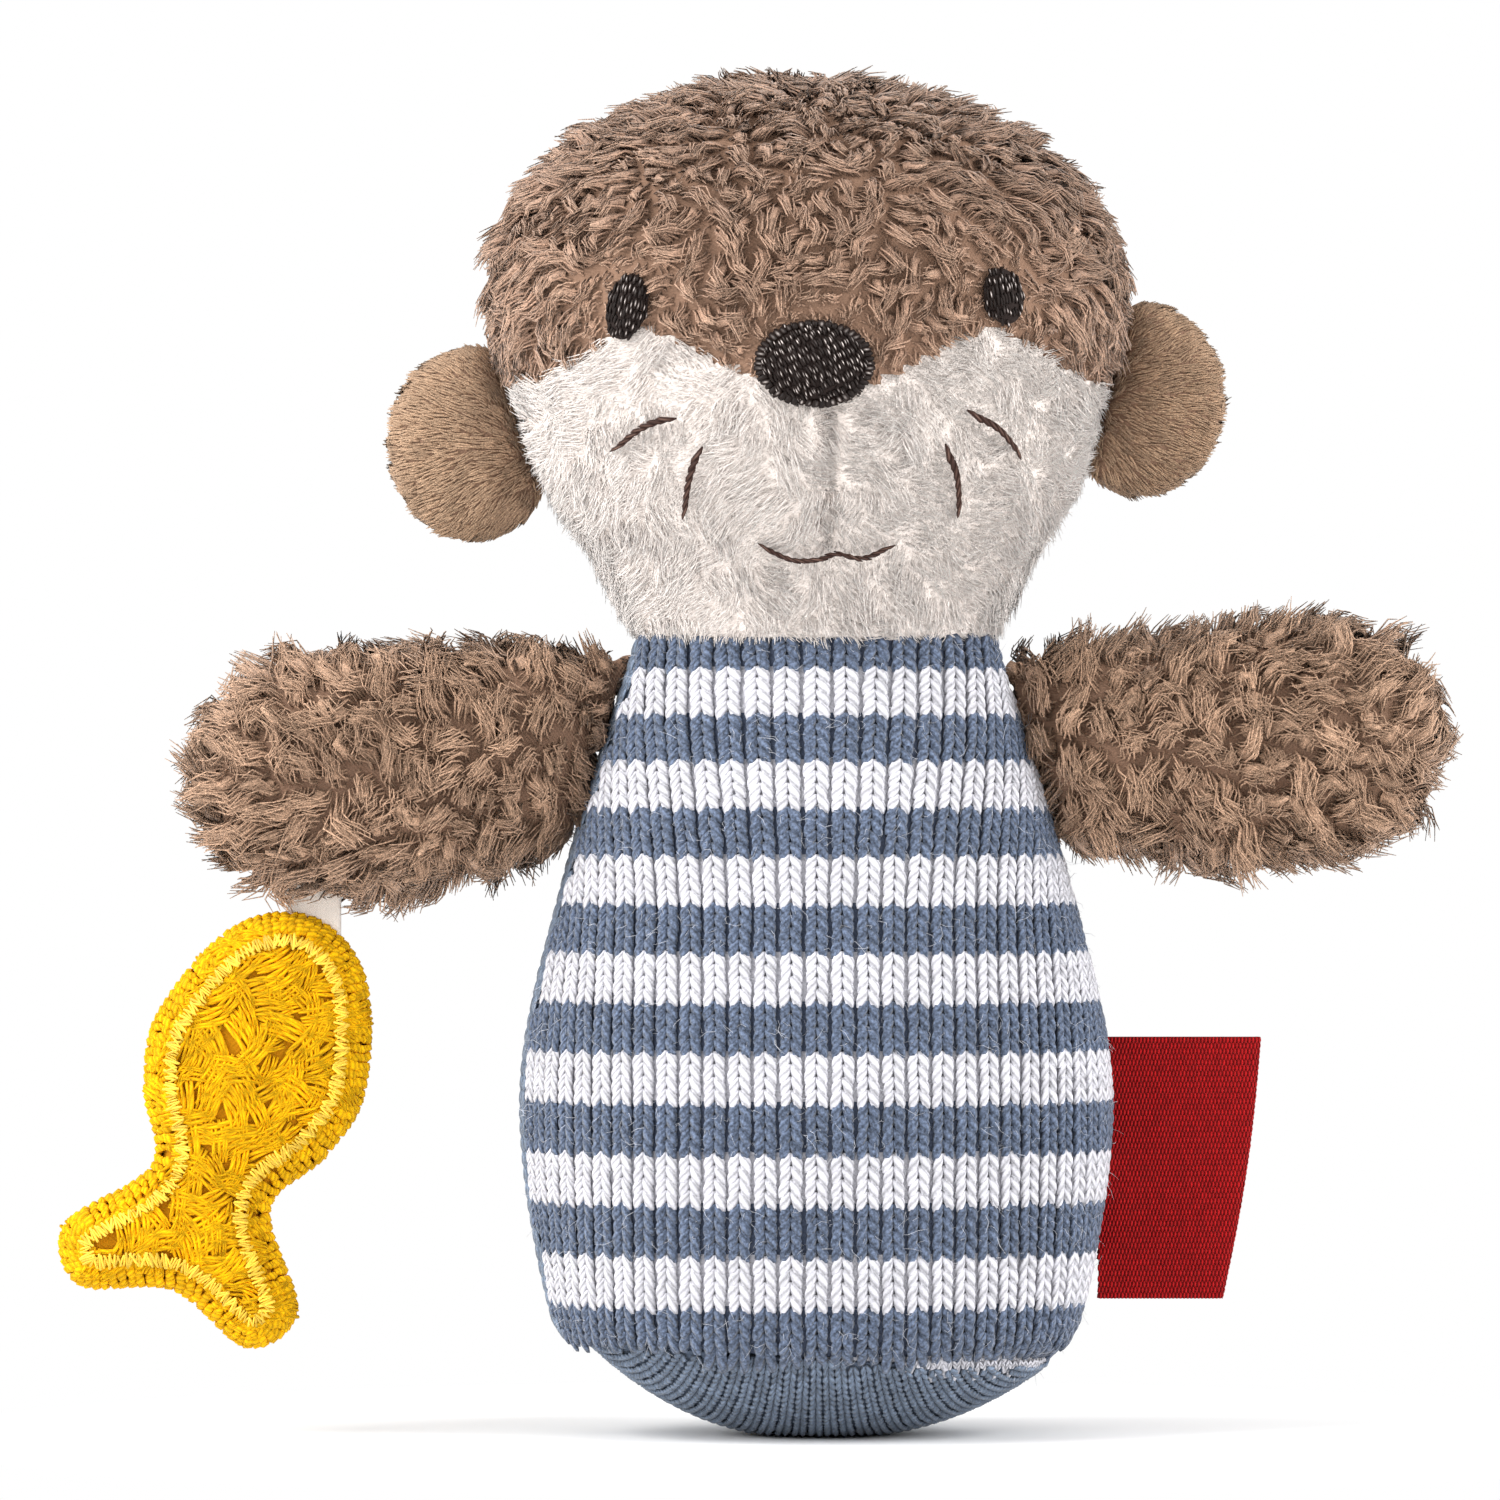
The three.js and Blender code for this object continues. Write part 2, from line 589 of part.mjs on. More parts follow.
const armProfile = [
  ...smoothProfile([
    [ARM_ROOT_HALF_HEIGHT, -ARM_TUCK],
    [ARM_ROOT_HALF_HEIGHT, 0],
    [ARM_HALF_HEIGHT, ARM_PAW_START],
  ], DOME_STEPS),
  ...domeProfile(ARM_HALF_HEIGHT, ARM_PAW_START, ARM_LENGTH, PAW_FULLNESS, DOME_STEPS),
];

function shoulder(sign, { drop, tilt }) {
  const z = NECK_Z - drop;
  const group = new THREE.Group();
  group.rotation.order = 'ZYX';
  group.rotation.set(0, -tilt * DEGREE, sign < 0 ? Math.PI : 0);
  group.position.set(sign * (widthAt(bodyProfile, z) + SWING_GAP), 0, z);
  group.updateMatrixWorld();
  return group;
}

// The seam that an arm swings about, in the arm's own frame: down along the side of the body.
function armSeam(group) {
  const z = group.position.z;
  const top = widthAt(bodyProfile, z + ARM_ROOT_HALF_HEIGHT / 2);
  const bottom = widthAt(bodyProfile, z - ARM_ROOT_HALF_HEIGHT / 2);
  const down = new THREE.Vector3(Math.sign(group.position.x) * (bottom - top), 0, -ARM_ROOT_HALF_HEIGHT);
  return down.transformDirection(group.matrixWorld.clone().invert());
}

// An arm's form, inside its surface by a distance: flat at the seam and full further out.
function armForm(inset, rootHalfDepth, sides, seam) {
  const root = rootHalfDepth / (ARM_ROOT_HALF_HEIGHT - inset);
  const full = (ARM_HALF_DEPTH - inset) / (ARM_HALF_HEIGHT - inset);
  const shape = (point) => {
    point.set(point.z, point.y, -point.x);
    const out = point.x - (point.z * seam.x) / seam.z;
    point.y *= THREE.MathUtils.lerp(root, full, THREE.MathUtils.smoothstep(out, 0, ARM_SWELL_LENGTH));
  };
  const lengthen = inset > 0 ? ARM_WALL : 0;
  return revolve(closedProfile(offsetProfile(armProfile, -inset), lengthen), sides, shape);
}

function makeArm(side, sign, place) {
  const group = shoulder(sign, place);
  const seam = armSeam(group);
  const larger = moved(bodySolid(SWING_GAP).add(headSolid(SWING_GAP)), group.matrixWorld.clone().invert());
  const sides = FORM_SIDES / 2;
  const shell = armForm(0, ARM_ROOT_HALF_DEPTH, sides, seam)
    .subtract(armForm(ARM_WALL, ARM_SLIT / 2, sides, seam));
  group.add(meshOf(`arm_${side}_cover`, clearOf(shell, larger, seam, ARM_SWING), 0x93755f, 1));

  const lean = Math.atan2(seam.x, -seam.z);
  const outside = moved(halfSpace(0, ARM_FILL_START, 1), new THREE.Matrix4().makeRotationY(-lean));
  const fill = armForm(ARM_WALL + FILL_GAP, 0, sides, seam).intersect(outside);
  group.add(meshOf(`arm_${side}_stuffing`, clearOf(fill, larger, seam, ARM_SWING), 0xe9e7e2, 1));
  return group;
}

// Ribbon and fish

function ribbonRoot() {
  const arm = shoulder(-1, LEFT_ARM);
  const under = new THREE.Vector3(RIBBON_AT, 0, -widthAt(armProfile, RIBBON_AT) - SWING_GAP);
  return arm.localToWorld(under);
}

function makeRibbon(root) {
  const group = new THREE.Group();
  group.position.copy(root);
  group.updateMatrixWorld();
  const half = RIBBON_WIDTH / 2;
  const outline = new THREE.Shape();
  outline.moveTo(half, ARM_WALL);
  outline.lineTo(-half, ARM_WALL);
  outline.lineTo(-half, -RIBBON_DROP);
  outline.absarc(0, -RIBBON_DROP, half, Math.PI, 2 * Math.PI);
  const strip = plate(outline, -RIBBON_DEPTH / 2, RIBBON_DEPTH / 2);
  const shoulderGroup = shoulder(-1, LEFT_ARM);
  const arm = moved(armForm(-SWING_GAP, ARM_ROOT_HALF_DEPTH, FORM_SIDES / 2, armSeam(shoulderGroup)),
    group.matrixWorld.clone().invert().multiply(shoulderGroup.matrixWorld));
  const ribbon = clearOf(strip, arm, new THREE.Vector3(1, 0, 0), RIBBON_FLAP);
  group.add(meshOf('ribbon', ribbon, 0xece0d4, 0.4));
  return group;
}

function fishOutline(inset) {
  const side = (sign) => [FISH_SHOULDER, FISH_BELLY, FISH_FLANK, FISH_WAIST, FISH_FIN, FISH_FIN_TIP]
    .map(({ halfWidth, down }) => [FISH_SET + sign * halfWidth, FISH_TOP - down]);
  const top = [FISH_SET, FISH_TOP];
  const notch = [FISH_SET, FISH_TOP - FISH_NOTCH_DOWN];
  const stations = [top, ...side(-1), notch, ...side(1).reverse(), top];
  const points = smoothProfile(stations, OUTLINE_STEPS).slice(0, OUTLINE_STEPS);
  return offsetPoints(points, -inset, true);
}

const fishMiddle = FISH_TOP - FISH_FIN_TIP.down / 2;

function fishCrown(inset) {
  const geometry = new THREE.SphereGeometry(1, FILL_SIDES, SMALL_SIDES);
  geometry.scale(FISH_CROWN_HALF_WIDTH - inset, FISH_CROWN_HALF_HEIGHT - inset, FISH_HALF_DEPTH - inset);
  geometry.rotateX(Math.PI / 2);
  geometry.translate(FISH_SET, 0, fishMiddle);
  return solidOf(geometry);
}

function fishForm(rim, inset) {
  const slab = plate(new THREE.Shape(fishOutline(rim)), -FISH_HALF_DEPTH, FISH_HALF_DEPTH);
  return slab.intersect(fishCrown(inset));
}

function makeOutlineStitch() {
  const loop = fishOutline(OUTLINE_INSET).map(({ x, y }) => {
    const across = (x - FISH_SET) / FISH_CROWN_HALF_WIDTH;
    const along = (y - fishMiddle) / FISH_CROWN_HALF_HEIGHT;
    const crown = FISH_HALF_DEPTH * Math.sqrt(1 - across ** 2 - along ** 2);
    return new THREE.Vector3(x, -crown - SEAM_GAP - OUTLINE_DEPTH / 2, y);
  });
  const ring = new THREE.CatmullRomCurve3(loop, true);
  const steps = OUTLINE_STEPS;
  const open = Array.from({ length: steps + 1 }, (_, i) => ring.getPoint((i / steps) * (1 - OUTLINE_OPEN)));
  const section = new THREE.Shape().absellipse(0, 0, OUTLINE_DEPTH / 2, OUTLINE_WIDTH / 2, 0, 2 * Math.PI);
  const stitch = rope(section, new THREE.CatmullRomCurve3(open), steps);
  return meshOf('fish_outline_stitch', stitch, 0xe6bf5a, 0.45);
}

function makeFish(root) {
  const group = new THREE.Group();
  group.position.copy(root);
  group.position.z -= RIBBON_DROP;
  group.rotation.y = FISH_TILT * DEGREE;
  const cavity = fishForm(FISH_RIM, FISH_WALL);
  const slotHalf = RIBBON_WIDTH / 2 + TONGUE_PLAY;
  const slotDepth = RIBBON_DEPTH / 2 + SEAM_GAP;
  const slot = block([-slotHalf, -slotDepth, -slotHalf], [slotHalf, slotDepth, FISH_TOP + slotHalf]);
  const cover = fishForm(0, 0).subtract(cavity).subtract(slot);
  group.add(meshOf('fish_front', cover.intersect(halfSpace(1, -SEAM_GAP / 2, -1)), 0xe3ad17, 0.95));
  group.add(meshOf('fish_back', cover.intersect(halfSpace(1, SEAM_GAP / 2, 1)), 0xe3ad17, 0.95));
  const wadding = fishForm(FISH_RIM + FILL_GAP, FISH_WALL + FILL_GAP).subtract(slot);
  group.add(meshOf('fish_wadding', wadding, 0xe9e7e2, 1));
  group.add(makeOutlineStitch());
  return group;
}

// Tag: one strip folded double, open at the seam

function makeTag() {
  const group = new THREE.Group();
  const middle = TAG_BOTTOM_Z + TAG_HEIGHT / 2;
  group.position.set(widthAt(bodyProfile, middle) + SWING_GAP, 0, TAG_BOTTOM_Z);
  group.updateMatrixWorld();
  const outer = TAG_FOLD_RADIUS;
  const inner = TAG_FOLD_RADIUS - TAG_PLY;
  const bend = TAG_REACH_TOP - outer;
  const outline = new THREE.Shape();
  outline.moveTo(-TAG_TUCK, -outer);
  outline.lineTo(bend, -outer);
  outline.absarc(bend, 0, outer, -Math.PI / 2, Math.PI / 2);
  outline.lineTo(-TAG_TUCK, outer);
  outline.lineTo(-TAG_TUCK, inner);
  outline.lineTo(bend, inner);
  outline.absarc(bend, 0, inner, Math.PI / 2, -Math.PI / 2, true);
  outline.lineTo(-TAG_TUCK, -inner);
  const geometry = new THREE.ExtrudeGeometry(outline, {
    depth: TAG_HEIGHT,
    bevelEnabled: false,
    curveSegments: FOLD_SEGMENTS,
  });
  const places = geometry.getAttribute('position');
  for (let i = 0; i < places.count; i += 1) {
    const x = places.getX(i);
    const narrow = (TAG_REACH_TOP - TAG_REACH_BOTTOM) * (1 - places.getZ(i) / TAG_HEIGHT);
    places.setX(i, x - (Math.max(0, x) / TAG_REACH_TOP) * narrow);
  }
  const body = moved(bodySolid(SWING_GAP), group.matrixWorld.clone().invert());
  const tag = clearOf(solidOf(geometry), body, new THREE.Vector3(0, 0, 1), TAG_FOLD);
  group.add(meshOf('woven_tag', tag, 0x810e10, 0.8));
  return group;
}

const otter = new THREE.Group();
const root = ribbonRoot();
otter.add(
  makeBody(),
  makeRattle(),
  makeHead(),
  makeEar('left', -1, LEFT_EAR),
  makeEar('right', 1, RIGHT_EAR),
  makeArm('left', -1, LEFT_ARM),
  makeArm('right', 1, RIGHT_ARM),
  makeRibbon(root),
  makeFish(root),
  makeTag(),
);

export default otter;
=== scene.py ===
"""A stuffed otter rattle: plush head and arms, striped knit body, a fish charm on a ribbon and a side tag."""

import logging
import math
from collections.abc import Callable, Sequence
from dataclasses import asdict, dataclass, field, fields, replace
from enum import Enum
from functools import cache
from typing import Any

import bmesh
import bpy
import numpy as np
from mathutils import Matrix, Vector
from mathutils.bvhtree import BVHTree
from mathutils.geometry import delaunay_2d_cdt


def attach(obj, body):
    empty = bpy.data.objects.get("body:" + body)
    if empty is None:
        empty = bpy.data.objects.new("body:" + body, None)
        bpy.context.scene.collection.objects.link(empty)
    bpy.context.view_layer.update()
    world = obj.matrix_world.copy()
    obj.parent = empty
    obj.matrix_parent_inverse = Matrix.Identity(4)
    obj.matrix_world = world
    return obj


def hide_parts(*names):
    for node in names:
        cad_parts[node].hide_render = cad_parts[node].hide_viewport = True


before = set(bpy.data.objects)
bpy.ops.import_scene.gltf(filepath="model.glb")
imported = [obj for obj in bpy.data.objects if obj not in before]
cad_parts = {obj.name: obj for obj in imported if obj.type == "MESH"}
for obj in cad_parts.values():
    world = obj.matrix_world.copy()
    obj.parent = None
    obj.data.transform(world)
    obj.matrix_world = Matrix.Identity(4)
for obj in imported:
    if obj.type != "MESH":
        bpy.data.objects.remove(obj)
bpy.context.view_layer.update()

log = logging.getLogger("otter")

MM = 0.001
CHART, PITCH, UP, SPOT, YARN_UV, VECTORS = "chart", "pitch", "up", "spot", "yarn", "FLOAT_VECTOR"
FACING, ALONG, SHADE, LOCK_SHADE, TONE, STRIPE = "facing", "along", "shade", "lock_shade", "tone", "stripe"

Colour = tuple[float, float, float, float]
Pair = tuple[float, float]
Array = np.ndarray
Chart = Callable[[Array, Array], Array]
Mesh, Object, Material = bpy.types.Mesh, bpy.types.Object, bpy.types.Material


def srgb(*levels: int) -> Colour:
    """Turns a screen colour, red, green and blue from 0 to 255, into linear light with alpha."""
    shares = (level / 255 for level in levels)
    return (*(part / 12.92 if part <= 0.04045 else ((part + 0.055) / 1.055) ** 2.4 for part in shares), 1.0)


class Side(Enum):
    """A side of the toy as seen from the front, with its sign along X."""

    LEFT = -1
    RIGHT = 1

    @property
    def word(self) -> str:
        """The side's name as node names write it."""
        return self.name.lower()


def operator(operation: str, mirrored: bool = False) -> Callable[["Wire", Any], "Wire"]:
    """Makes a Python operator that adds a maths node; a mirrored one has its wire on the right."""
    order = -1 if mirrored else 1
    return lambda wire, other: wire.join(operation, *(wire, other)[::order])


class Wire:
    """A node's output, used in Python expressions as if it were a number or a vector."""

    __add__, __radd__ = operator("ADD"), operator("ADD", True)
    __sub__, __rsub__ = operator("SUBTRACT"), operator("SUBTRACT", True)
    __mul__, __rmul__ = operator("MULTIPLY"), operator("MULTIPLY", True)
    __truediv__, __rtruediv__ = operator("DIVIDE"), operator("DIVIDE", True)
    __pow__ = operator("POWER")

    def __init__(self, graph: "Graph", socket: bpy.types.NodeSocket) -> None:
        """Keeps the socket and the graph that further nodes go into."""
        self.graph, self.socket = graph, socket

    def join(self, operation: str, first: Any, second: Any) -> "Wire":
        """Adds the maths node for one operator.

        Args:
            operation: Name of the operation.
            first: Wire, number or vector on the left.
            second: Wire, number or vector on the right.

        Returns:
            The node's output.
        """
        vectors = [
            isinstance(side, Vector) or isinstance(side, Wire) and side.socket.type in {"VECTOR", "RGBA"}
            for side in (first, second)
        ]
        if not any(vectors):
            return self.graph.add("ShaderNodeMath", {0: first, 1: second}, operation=operation)
        if operation == "MULTIPLY" and not all(vectors):
            vector, scale = (first, second) if vectors[0] else (second, first)
            return self.graph.add("ShaderNodeVectorMath", {0: vector, "Scale": scale}, operation="SCALE")
        return self.graph.add("ShaderNodeVectorMath", {0: first, 1: second}, operation=operation)

    def number(self, operation: str, *others: Any) -> "Wire":
        """Applies a Math node operation, such as SINE, with its further inputs."""
        return self.graph.add("ShaderNodeMath", dict(enumerate((self, *others))), operation=operation)

    def vector(self, operation: str, *others: Any, output: int = 0) -> "Wire":
        """Applies a Vector Math node operation, such as NORMALIZE; output 1 is the node's number."""
        return self.graph.add("ShaderNodeVectorMath", dict(enumerate((self, *others))), output, operation=operation)

    def part(self, axis: str) -> "Wire":
        """One component of a vector: X, Y or Z."""
        return self.graph.add("ShaderNodeSeparateXYZ", {0: self}, axis)

    def clamped(self) -> "Wire":
        """The number kept between 0 and 1."""
        return self.number("MAXIMUM", 0.0).number("MINIMUM", 1.0)


class Graph:
    """Adds nodes to a shader or geometry tree."""

    def __init__(self, tree: bpy.types.NodeTree) -> None:
        """Keeps the tree that nodes go into."""
        self.tree = tree

    def _find(self, sockets: Any, key: str | int) -> bpy.types.NodeSocket:
        """Finds a node's socket by its place, identifier or name."""
        named = [socket for socket in sockets if socket.identifier == key]
        return named[0] if named else sockets[key]

    def add(
        self, kind: str, inputs: dict[str | int, Any] | None = None, output: str | int = 0, **settings: Any
    ) -> Wire:
        """Adds one node: its settings first, then its inputs.

        Args:
            kind: The node's type.
            inputs: Values or wires by socket.
            output: The socket to return.
            settings: The node's properties.

        Returns:
            The output, or the first input of a node that has none.
        """
        node = self.tree.nodes.new(kind)
        for name, value in settings.items():
            setattr(node, name, value)
        for key, value in (inputs or {}).items():
            socket = self._find(node.inputs, key)
            if isinstance(value, Wire):
                self.tree.links.new(value.socket, socket)
            else:
                socket.default_value = value
        return Wire(self, self._find(node.outputs, output) if node.outputs else node.inputs[0])

    def also(self, wire: Wire, output: str | int) -> Wire:
        """Another output of the node that a wire comes from."""
        return Wire(self, self._find(wire.socket.node.outputs, output))

    def mix(self, factor: Any, low: Any, high: Any) -> Wire:
        """A colour between two: the first at a factor of 0 and the second at 1."""
        inputs = {"Factor_Float": factor, "A_Color": low, "B_Color": high}
        return self.add("ShaderNodeMix", inputs, "Result_Color", data_type="RGBA")

    def noise(self, place: Wire, scale: float, detail: float = 2.0) -> Wire:
        """Smooth noise, about 0 to 1, with so many features per metre and so many octaves more."""
        return self.add("ShaderNodeTexNoise", {"Vector": place, "Scale": scale, "Detail": detail}, "Fac")


class ShaderGraph(Graph):
    """The nodes of one material."""

    def __init__(self, material: Material) -> None:
        """Empties the material's tree."""
        super().__init__(material.node_tree)
        self.tree.nodes.clear()

    def attribute(self, name: str, output: str = "Fac") -> Wire:
        """A value stored on the mesh: a number from Fac and a direction from Vector."""
        return self.add("ShaderNodeAttribute", {}, output, attribute_name=name)

    def place(self) -> Wire:
        """Where a point is on the object."""
        return self.add("ShaderNodeTexCoord", {}, "Object")

    def uv(self, name: str) -> Wire:
        """A point's place on a UV map."""
        return self.add("ShaderNodeUVMap", {}, "UV", uv_map=name)

    def soft_normal(self, name: str, share: float) -> Wire:
        """A normal between the surface's own and one stored on the mesh.

        Args:
            name: The stored direction, in the object's frame.
            share: Share of the stored direction.

        Returns:
            The normal.
        """
        stored = {"Vector": self.attribute(name, "Vector")}
        turned = self.add(
            "ShaderNodeVectorTransform", stored, vector_type="NORMAL", convert_from="OBJECT", convert_to="WORLD"
        )
        own = self.add("ShaderNodeNewGeometry", {}, "Normal")
        return (turned * share + own * (1.0 - share)).vector("NORMALIZE")

    def bump(self, height: Wire, distance: float, **normal: Wire) -> Wire:
        """A normal tilted by a height; a height of 1 stands for the distance, and Normal is the one tilted."""
        return self.add("ShaderNodeBump", {"Height": height, "Distance": distance, **normal})


class GeometryGraph(Graph):
    """A geometry tree with named inputs."""

    SOCKETS = {
        float: "NodeSocketFloat", int: "NodeSocketInt", bool: "NodeSocketBool", Vector: "NodeSocketVector",
        Object: "NodeSocketObject", Material: "NodeSocketMaterial",
    }

    def __init__(self, name: str, inputs: dict[str, type]) -> None:
        """Makes the tree and its interface.

        Args:
            name: Name of the tree.
            inputs: What each named input holds, as a key of SOCKETS.
        """
        super().__init__(bpy.data.node_groups.new(name, "GeometryNodeTree"))
        face = self.tree.interface
        for way in ("OUTPUT", "INPUT"):
            face.new_socket("Geometry", in_out=way, socket_type="NodeSocketGeometry")
        for label, kind in inputs.items():
            face.new_socket(label, in_out="INPUT", socket_type=self.SOCKETS[kind])
        self.entry = self.tree.nodes.new("NodeGroupInput")

    def given(self, *names: str) -> Any:
        """The tree's input of that name, or several inputs in a row."""
        wires = [Wire(self, self.entry.outputs[name]) for name in names]
        return wires if len(names) > 1 else wires[0]

    def stored(self, name: str, kind: str = "FLOAT") -> Wire:
        """An attribute stored on the geometry."""
        return self.add("GeometryNodeInputNamedAttribute", {"Name": name}, "Attribute", data_type=kind)

    def store(self, geometry: Wire, kind: str, **values: Wire) -> Wire:
        """Stores attributes on points.

        Args:
            geometry: The points.
            kind: The attributes' data type.
            values: What is stored under each name.

        Returns:
            The points with the attributes.
        """
        for name, value in values.items():
            inputs = {"Geometry": geometry, "Name": name, "Value": value}
            geometry = self.add("GeometryNodeStoreNamedAttribute", inputs, data_type=kind, domain="POINT")
        return geometry

    def position(self) -> Wire:
        """Where a point is."""
        return self.add("GeometryNodeInputPosition")

    def index(self) -> Wire:
        """A point's number."""
        return self.add("GeometryNodeInputIndex")

    def drop(self, points: Wire, unwanted: Wire) -> Wire:
        """Deletes the unwanted points."""
        return self.add("GeometryNodeDeleteGeometry", {"Geometry": points, "Selection": unwanted}, domain="POINT")

    def shape(self, name: str) -> Wire:
        """The geometry of the object in an input."""
        return self.add("GeometryNodeObjectInfo", {"Object": self.given(name)}, "Geometry")

    def random(self, low: Any, high: Any, key: Wire, seed: Any) -> Wire:
        """A random number for each whole-number key; equal keys get equal values."""
        inputs = {"Min_001": low, "Max_001": high, "ID": key, "Seed": seed}
        return self.add("FunctionNodeRandomValue", inputs, "Value_001", data_type="FLOAT")

    def random_vector(self, reach: float, key: Wire, seed: Any) -> Wire:
        """A random vector for each key, each part between -reach and reach."""
        inputs = {"Min": (-reach,) * 3, "Max": (reach,) * 3, "ID": key, "Seed": seed}
        return self.add("FunctionNodeRandomValue", inputs, "Value", data_type=VECTORS)

    def end(self, geometry: Wire) -> None:
        """Realises the geometry, gives it the finish and ends the tree.

        Args:
            geometry: The finished geometry.
        """
        real = self.add("GeometryNodeRealizeInstances", {"Geometry": geometry})
        smooth = self.add("GeometryNodeSetShadeSmooth", {"Geometry": real})
        dressed = self.add("GeometryNodeSetMaterial", {"Geometry": smooth, "Material": self.given("finish")})
        self.add("NodeGroupOutput", {0: dressed})

    def run(self, name: str, carrier: Mesh, values: dict[str, Any]) -> Object:
        """Runs the tree on a mesh.

        Args:
            name: Name of the new object.
            carrier: The mesh that the tree starts from.
            values: Values of the tree's named inputs.

        Returns:
            A plain mesh object with the result.
        """
        holder = add_object(f"{name}_carrier", carrier)
        modifier = holder.modifiers.new("work", "NODES")
        modifier.node_group = self.tree
        for item in self.tree.interface.items_tree:
            if item.in_out == "INPUT" and item.name in values:
                modifier[item.identifier] = values[item.name]
        made = add_object(name, evaluated(holder))
        bpy.data.objects.remove(holder)
        return made


@dataclass(frozen=True)
class Finish:
    """A plain matte finish, and what the others share."""

    name: str
    colour: Colour
    roughness: float = 0.9
    sheen: float = 0.0

    GLOSS = 0.2

    def tint(self, graph: ShaderGraph) -> Wire:
        """The colour with a little cloudiness."""
        dark = tuple(part * 0.82 for part in self.colour[:3]) + (1.0,)
        return graph.mix(graph.noise(graph.place(), 240.0), dark, self.colour)

    def relief(self, graph: ShaderGraph) -> dict[str, Wire]:
        """The surface normal as a shader input, where the surface isn't plain."""
        return {}

    @cache
    def material(self) -> Material:
        """Makes the material, once.

        Returns:
            The material.
        """
        material = bpy.data.materials.new(f"{self.name}_look")
        material.use_nodes = True
        material.diffuse_color = self.colour
        graph = ShaderGraph(material)
        inputs = {
            "Base Color": self.tint(graph), "Roughness": self.roughness, "Sheen Weight": self.sheen,
            "Specular IOR Level": self.GLOSS, **self.relief(graph),
        }
        shader = graph.add("ShaderNodeBsdfPrincipled", inputs)
        graph.add("ShaderNodeOutputMaterial", {"Surface": shader})
        return material


@dataclass(frozen=True)
class PileFinish(Finish):
    """Fibres of pile: darker at the root and paler at the tip, a painted shade deep in the pile; each lock a little
    different.
    """

    # root: a darker colour that paints shade deep in the pile; tip: the paler colour at the tip
    root: Colour = (0.0, 0.0, 0.0, 1.0)
    tip: Colour = (1.0, 1.0, 1.0, 1.0)
    strand_change: float = 0.35
    lock_change: float = 0.3
    grain: float = 0.8
    softness: float = 0.6
    # pale: painted light, the pile made paler below a height, by up to this share
    pale: float = 0.0
    pale_top: float = 120.0 * MM
    pale_reach: float = 24.0 * MM
    grain_scale: float = 7500.0

    def tint(self, graph: ShaderGraph) -> Wire:
        """Colours a fibre along its length, with painted shade towards its root.

        Args:
            graph: The material's nodes.

        Returns:
            The colour.
        """
        along = graph.attribute(ALONG)
        # painted shade: darker towards the root, paler towards the tip
        lower = graph.mix((along * 2.0).number("MINIMUM", 1.0), self.root, self.colour)
        length = graph.mix((along * 2.0 - 1.0).number("MAXIMUM", 0.0), lower, self.tip)
        strand = (graph.attribute(SHADE) - 0.5) * self.strand_change
        lock = (graph.attribute(LOCK_SHADE) - 0.5) * self.lock_change
        speck = (graph.noise(graph.place(), self.grain_scale, 1.0) - 0.5) * (2.0 * self.grain)
        level = (strand + lock + 1.0) * (speck + 1.0)
        # painted light: paler lower down on the head
        if self.pale:
            below = (self.pale_top - graph.place().part("Z")) / self.pale_reach
            level = level * (below.clamped() * self.pale + 1.0)
        return length * level

    def relief(self, graph: ShaderGraph) -> dict[str, Wire]:
        """The fine fibres as a normal."""
        fibres, soft = graph.noise(graph.place(), self.grain_scale, 1.0), graph.soft_normal(FACING, self.softness)
        return {"Normal": graph.bump(fibres, 0.7 / self.grain_scale, Normal=soft)}


@dataclass(frozen=True)
class YarnFinish(Finish):
    """Spun yarn in one or two colours, with its plies twisted round each other, painted shade between the plies and,
    on shiny thread, painted highlights.
    """

    # second: the stripe colour on knit; on shiny thread, the colour of its painted highlights
    second: Colour = (1.0, 1.0, 1.0, 1.0)
    plies: float = 3.0
    twist: float = 1.5
    ply_depth: float = 0.12 * MM
    # painted shade: how much darker the yarn is between plies
    groove: float = 0.45
    change: float = 0.18
    glint: float = 0.0
    heather: float = 0.3
    fleck: float = 0.3

    def _ply(self, graph: ShaderGraph) -> Wire:
        """How high a point is on its ply, 0 between plies and 1 on top."""
        uv = graph.uv(YARN_UV)
        return ((uv.part("X") * self.plies + uv.part("Y") * self.twist) * math.pi).number("SINE").number("ABSOLUTE")

    def tint(self, graph: ShaderGraph) -> Wire:
        """Colours the yarn, with painted shade between plies and a painted highlight on shiny thread.

        Args:
            graph: The material's nodes.

        Returns:
            The colour.
        """
        share = graph.attribute(STRIPE)
        # painted highlight: a spot of the second colour on top of random stitches
        if self.glint:
            uv = graph.uv(YARN_UV)
            top = 1.0 - (uv.part("X") - 0.25).number("ABSOLUTE") * 13.0
            middle = 1.0 - (uv.part("Y") - 0.5).number("ABSOLUTE") * 3.2
            spot = top.number("MAXIMUM", 0.0) * middle.number("MAXIMUM", 0.0)
            lit = (graph.attribute(TONE) - 0.3).number("MAXIMUM", 0.0)
            share = (spot * lit * self.glint).number("MINIMUM", 1.0)
        yarn = graph.mix(share, self.colour, self.second)
        # painted shade between plies
        ply_shade_level = self._ply(graph) * self.groove + (1.0 - self.groove)
        mottle = (graph.noise(graph.place(), 3800.0, 3.0) - 0.5) * 2.0
        fibre = mottle * (graph.attribute(STRIPE) * self.heather + self.fleck) + 1.0
        tone = (graph.attribute(TONE) - 0.5) * self.change + 1.0
        return yarn * (ply_shade_level * fibre * tone)

    def relief(self, graph: ShaderGraph) -> dict[str, Wire]:
        """The plies and fibres as a normal."""
        fibres = graph.noise(graph.place(), 4200.0, 3.0) * 0.8
        return {"Normal": graph.bump(self._ply(graph) + fibres, self.ply_depth)}


